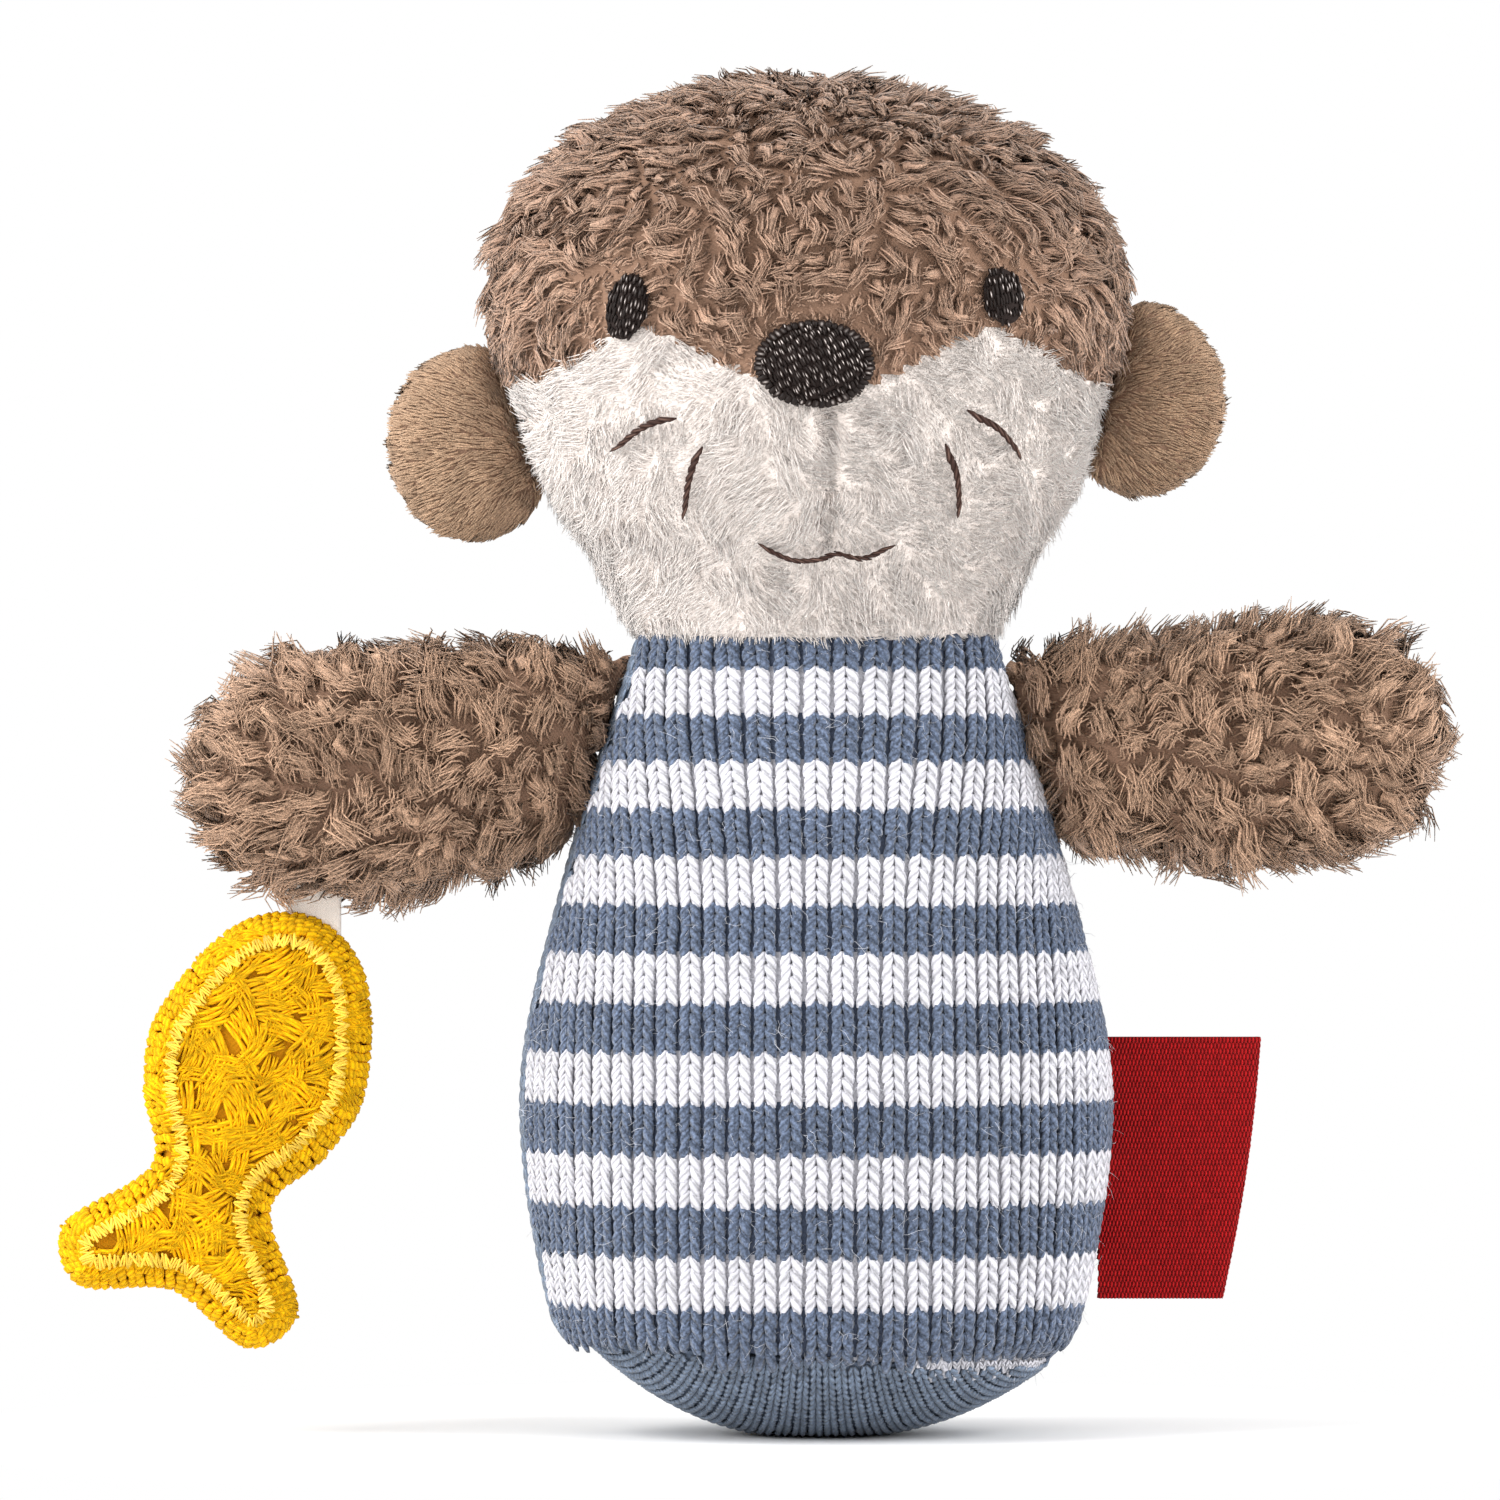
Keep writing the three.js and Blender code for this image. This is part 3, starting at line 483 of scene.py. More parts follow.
@dataclass(frozen=True)
class ClothFinish(Finish):
    """Woven or knitted backing cloth with a fine grain."""

    grain: float = 0.5 * MM
    depth: float = 0.08 * MM

    def relief(self, graph: ShaderGraph) -> dict[str, Wire]:
        """Raises the weave.

        Args:
            graph: The material's nodes.

        Returns:
            The normal as a shader input.
        """
        place = graph.place() * (math.tau / self.grain)
        weave = (place.part("X") + place.part("Y")).number("SINE") * place.part("Z").number("SINE")
        return {"Normal": graph.bump(weave * 0.5 + 0.5, self.depth)}


@dataclass(frozen=True)
class StripeClothFinish(ClothFinish):
    """Backing cloth behind the striped knit, striped with it."""

    second: Colour = (1.0, 1.0, 1.0, 1.0)
    first_edge: float = 0.0
    course: float = 1.0 * MM
    crowding: float = 0.001 * MM
    courses: int = 4

    def tint(self, graph: ShaderGraph) -> Wire:
        """Colours the stripes.

        Args:
            graph: The material's nodes.

        Returns:
            The colour.
        """
        above = graph.place().part("Z") - self.first_edge
        root = (self.course**2 - above * (4.0 * self.crowding)) ** 0.5
        count = (self.course - root) / (4.0 * self.crowding * self.courses)
        return graph.mix(count.number("FRACT").number("LESS_THAN", 0.5), self.colour, self.second)


# Pile colours: the darker root colour is painted shade deep in the pile.
BROWN_PILE = PileFinish(
    # painted light: the last number, pale, makes the lower head paler
    "plush_brown", srgb(164, 131, 110), 0.9, 0.3, srgb(148, 117, 97), srgb(178, 146, 124), 0.3, 0.2, 1.0, 0.78, 0.22
)
ARM_PILE = PileFinish(
    "plush_arm", srgb(194, 157, 130), 0.9, 0.3, srgb(182, 146, 120), srgb(202, 165, 137), 0.22, 0.18, 1.0, 0.8
)
WHITE_PILE = PileFinish(
    "plush_white", srgb(254, 242, 234), 0.9, 0.6, srgb(249, 235, 226), srgb(255, 248, 242), 0.06, 0.08, 0.25, 0.9
)
VELOUR = PileFinish(
    "velour_brown", srgb(174, 142, 115), 0.85, 0.2, srgb(142, 112, 88), srgb(188, 157, 129), 0.2, 0.25, 0.8
)
KNIT_FUZZ = PileFinish("knit_fuzz", srgb(208, 210, 218), 0.9, 0.2, srgb(186, 189, 199), srgb(222, 223, 230), 0.2, 0.2)
BLUE, WHITE_YARN, GOLD, RED = srgb(94, 106, 128), srgb(220, 219, 226), srgb(244, 186, 2), srgb(170, 15, 19)
STRIPED_YARN = YarnFinish("knit_striped", WHITE_YARN, 0.9, 0.2, BLUE, heather=1.3)
PLAIN_YARN = YarnFinish("knit_plain", srgb(118, 132, 152), 0.9, 0.2, BLUE, 2.0, 0.8, change=0.45, fleck=0.9)
# Shiny threads: their second colour is a painted highlight, its strength the last number.
DARK_THREAD = YarnFinish(
    "dark_thread", srgb(34, 23, 19), 0.5, 0.0, srgb(226, 214, 208), 4.0, 0.6, 0.03 * MM, 0.35, 0.5, 2.0
)
DARK_EDGE = replace(DARK_THREAD, name="dark_thread_edge", glint=0.9)
BROWN_THREAD = YarnFinish(
    "brown_thread", srgb(64, 42, 35), 0.6, 0.0, srgb(150, 120, 106), 4.0, 1.2, 0.05 * MM, 0.4, 0.3, 1.0
)
FISH_YARN = YarnFinish("fish_knit", GOLD, 0.9, 0.0, GOLD, 2.0, 2.6, 0.1 * MM, 0.35, 0.35)
# Painted highlights: the second colour, its strength the last number.
FISH_THREAD = YarnFinish(
    "fish_thread", srgb(250, 206, 70), 0.3, 0.0, srgb(255, 253, 222), 2.0, 0.5, 0.02 * MM, 0.2, 0.6, 4.5
)
TAG_YARN = YarnFinish("tag_red", RED, 0.8, 0.0, RED, 2.0, 0.3, 0.03 * MM, 0.4, 0.3)
# Brown backing in the pile's root colour: partly its own brown, partly painted shade where it shows between locks.
BROWN_CLOTH = ClothFinish("plush_backing_brown", srgb(148, 117, 97))
WHITE_CLOTH = ClothFinish("plush_backing_white", srgb(252, 240, 232))
# Knit backing darker than its yarn: painted shade in the gaps between loops.
PLAIN_SHADE_CLOTH = ClothFinish("knit_backing_plain", srgb(86, 97, 114))
DARK_CLOTH = ClothFinish("dark_thread_base", srgb(40, 30, 27), 0.8, 0.0, 0.3 * MM, 0.03 * MM)
# Fish backing darker than its yarn: painted shade in the crevices between bundles and wraps.
FISH_SHADE_CLOTH = ClothFinish("fish_backing", srgb(200, 136, 4))
SATIN = ClothFinish("satin_ribbon", srgb(238, 228, 218), 0.34, 0.3, 0.28 * MM, 0.02 * MM)
TAG_CLOTH = ClothFinish("tag_backing", srgb(112, 8, 10), 0.85, 0.0, 0.3 * MM, 0.04 * MM)
FILL = ClothFinish("stuffing", srgb(240, 238, 232), 0.95, 0.3, 1.4 * MM, 0.4 * MM)
CAPSULE_PLASTIC = Finish("capsule_plastic", srgb(226, 228, 230), 0.35)
BEAD_PLASTIC = Finish("bead_plastic", srgb(196, 90, 60), 0.3)


def add_object(name: str, data: bpy.types.ID) -> Object:
    """Puts an object in the scene, at the origin.

    Args:
        name: Its name.
        data: Its mesh, lamp or camera.

    Returns:
        The object.
    """
    made = bpy.data.objects.new(name, data)
    bpy.context.scene.collection.objects.link(made)
    return made


def evaluated(obj: Object) -> Mesh:
    """Applies an object's modifiers.

    Args:
        obj: The object, which is kept.

    Returns:
        A plain mesh of its own.
    """
    graph = bpy.context.evaluated_depsgraph_get()
    graph.update()
    return bpy.data.meshes.new_from_object(obj.evaluated_get(graph), depsgraph=graph)


def dress(mesh: Mesh, finish: Finish) -> Mesh:
    """Gives a mesh one finish and no other.

    Args:
        mesh: The mesh.
        finish: The finish.

    Returns:
        The same mesh.
    """
    mesh.materials.clear()
    mesh.materials.append(finish.material())
    return mesh


def worked(name: str, mesh: Mesh, *steps: tuple[str, dict[str, Any]]) -> Mesh:
    """Applies modifiers to a mesh.

    Args:
        name: Name for the result.
        mesh: The mesh to start from, used up by the call.
        steps: Each modifier's type and settings.

    Returns:
        The mesh with all modifiers applied.
    """
    holder = add_object(f"{name}_holder", mesh)
    for kind, settings in steps:
        modifier = holder.modifiers.new(kind.lower(), kind)
        for key, value in settings.items():
            setattr(modifier, key, value)
    result = evaluated(holder)
    result.name = name
    bpy.data.objects.remove(holder)
    bpy.data.meshes.remove(mesh)
    return result


def softened(name: str, nodes: Sequence[str], voxel: float, rounds: int, *steps: tuple[str, dict[str, Any]]) -> Mesh:
    """Joins CAD solids into one soft form: remeshed to a voxel, smoothed in rounds, then worked in further steps."""
    remesh = ("REMESH", {"mode": "VOXEL", "voxel_size": voxel, "use_smooth_shade": True})
    return worked(name, cad_mesh(name, nodes), remesh, ("SMOOTH", {"factor": 0.5, "iterations": rounds}), *steps)


def finished(work: bmesh.types.BMesh, mesh: Mesh) -> Mesh:
    """Ends an edit.

    Args:
        work: The edit, freed by the call.
        mesh: The mesh that takes it.

    Returns:
        The mesh.
    """
    work.to_mesh(mesh)
    work.free()
    return mesh


def cad_mesh(name: str, nodes: Sequence[str]) -> Mesh:
    """Copies CAD nodes into one mesh in the shared frame.

    Args:
        name: Name for the mesh.
        nodes: Names of the nodes.

    Returns:
        The mesh, with shared corners merged.
    """
    joined = bmesh.new()
    for node in nodes:
        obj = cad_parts[node]
        piece = obj.data.copy()
        piece.transform(obj.matrix_world)
        joined.from_mesh(piece)
        bpy.data.meshes.remove(piece)
    bmesh.ops.remove_doubles(joined, verts=joined.verts, dist=0.002 * MM)
    return finished(joined, bpy.data.meshes.new(name))


def cut_out(mesh: Mesh, into: Mesh, wanted: Callable[[Vector], bool]) -> Mesh:
    """Keeps part of a mesh.

    Args:
        mesh: The whole mesh.
        into: The mesh that takes the part.
        wanted: Tells from a face's middle if it stays.

    Returns:
        The part.
    """
    work = bmesh.new()
    work.from_mesh(mesh)
    off = [face for face in work.faces if not wanted(face.calc_center_median())]
    bmesh.ops.delete(work, geom=off, context="FACES")
    return finished(work, into)


def keep_largest(mesh: Mesh) -> Mesh:
    """Removes every connected part of a mesh but the largest.

    Args:
        mesh: The mesh, changed in place.

    Returns:
        The same mesh.
    """
    work = bmesh.new()
    work.from_mesh(mesh)
    left, groups = set(work.verts), []
    while left:
        group, edge = set(), [left.pop()]
        while edge:
            vertex = edge.pop()
            group.add(vertex)
            near = {link.other_vert(vertex) for link in vertex.link_edges} & left
            left -= near
            edge.extend(near)
        groups.append(group)
    for group in sorted(groups, key=len)[:-1]:
        bmesh.ops.delete(work, geom=list(group), context="VERTS")
    return finished(work, mesh)


class Surface:
    """A mesh that rays and nearest points are looked up on."""

    def __init__(self, mesh: Mesh) -> None:
        """Indexes the mesh's faces."""
        points = [vertex.co.copy() for vertex in mesh.vertices]
        self.tree = BVHTree.FromPolygons(points, [tuple(face.vertices) for face in mesh.polygons])

    def hit(self, x: float, z: float, way: int = 1) -> Vector | None:
        """Where a ray along Y meets the surface; way is 1 for a ray from the front and -1 from the back."""
        return self.tree.ray_cast(Vector((x, -0.2 * way, z)), Vector((0.0, way, 0.0)))[0]

    def distance(self, point: Vector) -> float:
        """How far a point is from the surface."""
        return self.tree.find_nearest(point)[3]

    def drape(self, x: Array, z: Array, way: int = 1, lift: float | Array = 0.0) -> Array:
        """Lays places on the surface along Y; one that misses takes the nearest point's Y.

        Args:
            x: Their X.
            z: Their Z.
            way: 1 for the front and -1 for the back.
            lift: How far they move forward.

        Returns:
            The points.
        """
        depths = []
        for a, b in zip(x.ravel().tolist(), z.ravel().tolist()):
            spot = self.hit(a, b, way) or self.tree.find_nearest(Vector((a, -0.03 * way, b)))[0]
            depths.append(spot.y)
        return np.stack([x, np.array(depths).reshape(x.shape) - lift, z], axis=-1)


def grid(up: Sequence[float], across: Sequence[float]) -> list[Array]:
    """Pairs values on a grid: the first set changes from row to row and the second along each row."""
    return np.meshgrid(up, across, indexing="ij")


def turned(a: Any, b: Any, angle: float, centre: Sequence[float] = (0.0, 0.0)) -> tuple[Any, Any]:
    """X and Z of places across and upward from a centre, after a turn to the right about it."""
    cosine, sine = math.cos(angle), math.sin(angle)
    return centre[0] + a * cosine + b * sine, centre[1] - a * sine + b * cosine


def spline(knots: Array, shares: Array) -> Array:
    """Runs a Catmull-Rom spline through knots.

    Args:
        knots: The knots, with one more before the start and after the end.
        shares: Where points are wanted on each span, 0 to 1.

    Returns:
        The points.
    """
    points = []
    for before, first, second, after in zip(knots, knots[1:], knots[2:], knots[3:]):
        for share in shares:
            straight = 2 * first + (second - before) * share
            bend = (2 * before - 5 * first + 4 * second - after) * share**2
            points.append(0.5 * (straight + bend + (3 * first - before - 3 * second + after) * share**3))
    return np.array(points)


def open_knots(points: Sequence[Pair]) -> Array:
    """Knots for a spline through points from the first to the last."""
    knots = np.array(points)
    return np.vstack([2 * knots[0] - knots[1], knots, 2 * knots[-1] - knots[-2]])


class Line:
    """A line of points that places are looked up on by their distance along it."""

    def __init__(self, points: Array) -> None:
        """Measures the line."""
        self.points = points
        self.run = np.concatenate([[0.0], np.cumsum(np.linalg.norm(np.diff(points, axis=0), axis=1))])
        self.length = self.run[-1]

    def at(self, place: Array) -> list[Array]:
        """X and Z at distances along the line."""
        return [np.interp(place, self.run, self.points[:, axis]) for axis in (0, 1)]

    def way(self, before: Array, after: Array) -> Array:
        """Direction of the line from places to further places."""
        way = np.stack([far - near for near, far in zip(self.at(before), self.at(after))], axis=-1)
        return way / np.maximum(np.linalg.norm(way, axis=-1, keepdims=True), 1.0e-9)


def smooth_loop(points: Sequence[Pair], count: int) -> Array:
    """Draws a smooth closed line through points.

    Args:
        points: The points, in order.
        count: Number of points wanted, evenly spaced.

    Returns:
        The line's points, count rows of two.
    """
    knots = np.array(points)
    fine = spline(np.vstack([knots[-1:], knots, knots[:2]]), np.linspace(0.0, 1.0, 16, endpoint=False))
    line = Line(np.vstack([fine, fine[:1]]))
    return np.stack(line.at(np.linspace(0.0, line.length, count, endpoint=False)), axis=-1)


def sheet_mesh(
    name: str, chart: Chart, u: Array, v: Array, wrap: bool = False, unit: Pair | None = None
) -> Mesh:
    """Makes a grid mesh that stitches can be laid on.

    Args:
        name: Name of the mesh.
        chart: Gives points for chart places u, across, and v, upward.
        u: The grid's places across, in rows.
        v: The grid's places upward.
        wrap: True if each row closes on itself.
        unit: Size of a chart unit, where it isn't measured.

    Returns:
        The mesh, with chart, pitch and upward direction stored on it.
    """
    step = 0.02
    across = (chart(u + step, v) - chart(u - step, v)) / (2 * step)
    upward = (chart(u, v + step) - chart(u, v - step)) / (2 * step)
    rows, columns = u.shape
    faces = []
    for low in range(0, (rows - 1) * columns, columns):
        for column in range(columns if wrap else columns - 1):
            beside = (column + 1) % columns
            faces.append((low + column, low + beside, low + columns + beside, low + columns + column))
    mesh = bpy.data.meshes.new(name)
    mesh.from_pydata(chart(u, v).reshape(-1, 3).tolist(), [], faces)
    level = np.zeros(u.shape)
    pitch = np.stack([np.linalg.norm(across, axis=-1), np.linalg.norm(upward, axis=-1), level], axis=-1)
    if unit:
        pitch = np.broadcast_to([*unit, 0.0], pitch.shape)
    for label, values in ((CHART, np.stack([u, v, level], axis=-1)), (PITCH, pitch), (UP, upward)):
        layer = mesh.attributes.new(label, VECTORS, "POINT")
        layer.data.foreach_set("vector", np.ascontiguousarray(values, dtype=np.float32).ravel())
    mesh.update()
    return mesh


@dataclass(frozen=True)
class Bit:
    """A tube that one stitch is made of. Its rings lie across Y, in chart units; heights are shares of the depth."""

    path: Sequence[tuple[float, float, float]]
    widths: Sequence[float]
    heights: Sequence[float]
    sides: int = 6
    slant: int = 1


def leg(sign: int, sides: int, head: float, foot: float) -> Bit:
    """Makes one leg of a knit loop, which spreads downward.

    Args:
        sign: -1 for the left leg and 1 for the right.
        sides: Corners of its section, and number of sections.
        head: How far it reaches up, in courses.
        foot: How far it reaches down.

    Returns:
        The leg.
    """
    path, widths, heights = [], [], []
    for share in (index / (sides - 1) for index in range(sides)):
        swell = math.sin(math.pi * (0.12 + 0.8 * share)) ** 0.6
        across = sign * (0.11 + 0.17 * math.sin(share * math.pi / 2))
        path.append((across, head - (head + foot) * share, 0.2 + 0.5 * swell * (0.5 + 0.5 * share)))
        widths.append(0.07 + 0.16 * swell)
        heights.append(0.12 + 0.4 * swell)
    return Bit(path, widths, heights, sides, sign)


def arch(
    width: float, reach: float, sides: int, rings: int, fan: float = 0.0, place: float = 0.0, bow: float = 0.0
) -> Bit:
    """Makes a straight stitch that rises in its middle.

    Args:
        width: Half its width.
        reach: Half its length.
        sides: Corners of its section.
        rings: Sections along it.
        fan: How far it leans across along its length.
        place: Where it lies across.
        bow: How far its middle bends across.

    Returns:
        The tube.
    """
    path, widths, heights = [], [], []
    for share in (index / (rings - 1) for index in range(rings)):
        swell = math.sin(math.pi * (0.06 + 0.88 * share)) ** 0.5
        across = place + fan * (share - 0.5) + bow * math.sin(math.pi * share)
        path.append((across, reach * (2 * share - 1), 0.5 * swell))
        widths.append(width * (0.35 + 0.65 * swell))
        heights.append(0.5 * (0.3 + 0.7 * swell))
    return Bit(path, widths, heights, sides)


class Stitch(Enum):
    """The shapes that stitchwork repeats, each as its tubes."""

    LOOP = tuple(leg(sign, 5, 0.46, 1.09) for sign in (-1, 1))
    FINE_LOOP = tuple(leg(sign, 4, 0.42, 0.78) for sign in (-1, 1))
    FLOAT = (arch(0.42, 0.56, 4, 3),)
    THREAD = (arch(0.62, 0.5, 5, 5),)
    PLY = (
        Bit(
            [(-0.3, -1.15, 0.1), (-0.2, -0.5, 0.5), (0.2, 0.5, 0.5), (0.3, 1.15, 0.1)], [0.12, 0.34, 0.34, 0.12],
            [0.2, 0.45, 0.45, 0.2],
        ),
    )
    WRAP = (arch(0.58, 0.85, 5, 4, 0.1),)
    BUNDLE = tuple(
        arch(0.14, 1.2, 4, 5, fan, place, bow)
        for place, fan, bow in ((-0.36, 0.1, 0.14), (-0.12, -0.1, 0.2), (0.13, 0.1, 0.24), (0.37, 0.2, 0.12))
    )

    @cache
    def shape(self) -> Object:
        """The stitch's object, made once and kept out of the scene."""
        name = self.name.lower()
        return bpy.data.objects.new(name, bit_mesh(name, self.value))


def bit_mesh(name: str, bits: Sequence[Bit]) -> Mesh:
    """Makes the mesh of one stitch.

    Args:
        name: Name of the mesh.
        bits: The tubes.

    Returns:
        The mesh, with a UV map round and along each tube.
    """
    points, faces, uvs = [], [], []
    for bit in bits:
        start, last = len(points), len(bit.path) - 1
        order = slice(None) if bit.path[1][1] > bit.path[0][1] else slice(None, None, -1)
        for (x, y, z), width, height in zip(bit.path, bit.widths, bit.heights):
            for side in range(bit.sides):
                angle = math.tau * side / bit.sides
                points.append((x + width * math.cos(angle), y, z + height * math.sin(angle)))
        for ring in range(last):
            for side in range(bit.sides):
                corners = [(ring, side), (ring + 1, side), (ring + 1, side + 1), (ring, side + 1)][order]
                faces.append([start + a * bit.sides + b % bit.sides for a, b in corners])
                uvs += [(b / bit.sides, bit.slant * a / last) for a, b in corners]
        foot, head = ([start + ring * bit.sides + side for side in range(bit.sides)] for ring in (0, last))
        faces += [foot[order], head[order][::-1]]
        uvs += [(0.0, 0.0)] * (2 * bit.sides)
    mesh = bpy.data.meshes.new(name)
    mesh.from_pydata(points, [], faces)
    mesh.uv_layers.new(name=YARN_UV).data.foreach_set("uv", [part for corner in uvs for part in corner])
    return mesh


class Stitchwork(GeometryGraph):
    """Lays stitches in rows over a charted sheet."""

    NUMBERS = ("depth", "row_shift", "turn", "turn_jitter", "place_jitter", "size_jitter", "stripe_rows")
    OTHERS = {"stitch": Object, "finish": Material, "centre": Vector, "columns": int, "rows": int, "seed": int}

    def __init__(self) -> None:
        """Builds the tree."""
        super().__init__("stitchwork", dict.fromkeys(self.NUMBERS, float) | self.OTHERS)
        self.end(self._laid(self._points()))

    def _points(self) -> Wire:
        """Makes a point for each stitch.

        Returns:
            The points, with their spot on the sheet, its directions, the stripe and a tone stored on them.
        """
        columns, rows, seed = self.given("columns", "rows", "seed")
        size = {"Size X": columns - 1.0, "Size Y": rows - 1.0, "Vertices X": columns, "Vertices Y": rows}
        net = self.add("GeometryNodeMeshGrid", size, "Mesh")
        points = self.add("GeometryNodeMeshToPoints", {"Mesh": net}, "Points", mode="VERTICES")
        index, place = self.index(), self.position()
        row = (place.part("Y") + (rows - 1.0) * 0.5 + 0.5).number("FLOOR")
        shift = self.add("ShaderNodeCombineXYZ", {"X": row.number("FLOORED_MODULO", 2.0) * self.given("row_shift")})
        stray = self.random_vector(1.0, index, seed) * self.given("place_jitter")
        level = (place + shift + stray + self.given("centre")) * Vector((1.0, 1.0, 0.0))
        chart = self.stored(CHART, VECTORS)

        def sampled(value: Wire) -> Wire:
            """A value read off the sheet at the stitch's chart place."""
            inputs = {"Mesh": self.given("Geometry"), "Value": value, "Source UV Map": chart, "Sample UV": level}
            return self.add("GeometryNodeSampleUVSurface", inputs, "Value", data_type=VECTORS)

        values = {
            SPOT: sampled(self.position()), FACING: sampled(self.add("GeometryNodeInputNormal")),
            UP: sampled(self.stored(UP, VECTORS)), PITCH: sampled(self.stored(PITCH, VECTORS)),
        }
        points = self.store(points, VECTORS, **values)
        course = level.part("Y").number("FLOOR")
        stripe = (course / self.given("stripe_rows")).number("FLOOR").number("FLOORED_MODULO", 2.0)
        points = self.store(points, "FLOAT", **{STRIPE: stripe, TONE: self.random(0.0, 1.0, index, seed + 1.0)})
        found = self.also(values[SPOT], "Is Valid")
        return self.drop(points, self.add("FunctionNodeBooleanMath", {0: found}, operation="NOT"))

    def _laid(self, points: Wire) -> Wire:
        """Puts a stitch on each point, turned and sized to the sheet.

        Args:
            points: The points.

        Returns:
            The stitches as instances.
        """
        seed, index = self.given("seed"), self.index()
        pitch = self.stored(PITCH, VECTORS)
        points = self.add("GeometryNodeSetPosition", {"Geometry": points, "Position": self.stored(SPOT, VECTORS)})
        axes = {"Primary Axis": self.stored(FACING, VECTORS), "Secondary Axis": self.stored(UP, VECTORS)}
        upright = self.add("FunctionNodeAxesToRotation", axes, "Rotation", primary_axis="Z", secondary_axis="Y")
        angle = self.given("turn") + self.random(-1.0, 1.0, index, seed + 2.0) * self.given("turn_jitter")
        turn = self.add("FunctionNodeAxisAngleToRotation", {"Axis": (0.0, 0.0, 1.0), "Angle": angle})
        both = {"Rotation": upright, "Rotate By": turn}
        swell = self.random(-1.0, 1.0, index, seed + 3.0) * self.given("size_jitter") + 1.0
        parts = {"X": pitch.part("X") * swell, "Y": pitch.part("Y") * swell, "Z": self.given("depth")}
        return self.add(
            "GeometryNodeInstanceOnPoints",
            {
                "Points": points, "Instance": self.shape("stitch"),
                "Rotation": self.add("FunctionNodeRotateRotation", both, rotation_space="LOCAL"),
                "Scale": self.add("ShaderNodeCombineXYZ", parts),
            },
        )

    def lay(self, name: str, sheet: Mesh, stitch: Stitch, finish: Finish, **values: Any) -> Object:
        """Covers a sheet with stitches.

        Args:
            name: Name of the new piece.
            sheet: The charted sheet, which is kept.
            stitch: The stitch's shape.
            finish: The stitches' finish.
            values: Further inputs of the tree.

        Returns:
            The stitches as one mesh.
        """
        chart = np.empty(len(sheet.vertices) * 3, dtype=np.float32)
        sheet.attributes[CHART].data.foreach_get("vector", chart)
        low, high = chart.reshape(-1, 3).min(axis=0), chart.reshape(-1, 3).max(axis=0)
        centre = np.round((low + high) / 2)
        reach = np.ceil((high - low) / 2).astype(int) + 1
        given = {
            "stitch": stitch.shape(), "finish": finish.material(), "seed": 1,
            "centre": (float(centre[0]), float(centre[1]) + 0.5, 0.0),
            "columns": int(2 * reach[0] + 1), "rows": int(2 * reach[1] + 1),
        }
        return self.run(name, sheet, given | values)


@dataclass(frozen=True)
class Pile:
    """How a pile stands: lengths in metres, strands per square metre."""

    strands: float
    length: float
    radius: float
    lock: float
    lift: float
    clump: float = 0.7
    swirl: float = 0.6
    swirl_scale: float = 60.0
    curl: float = 0.0
    turns: float = 1.0
    jitter: float = 0.06
    joints: int = 4
    stray: float = 0.35
    wave: float = 0.0
    sides: int = 3
    single: bool = False
    bulge: float = 0.6


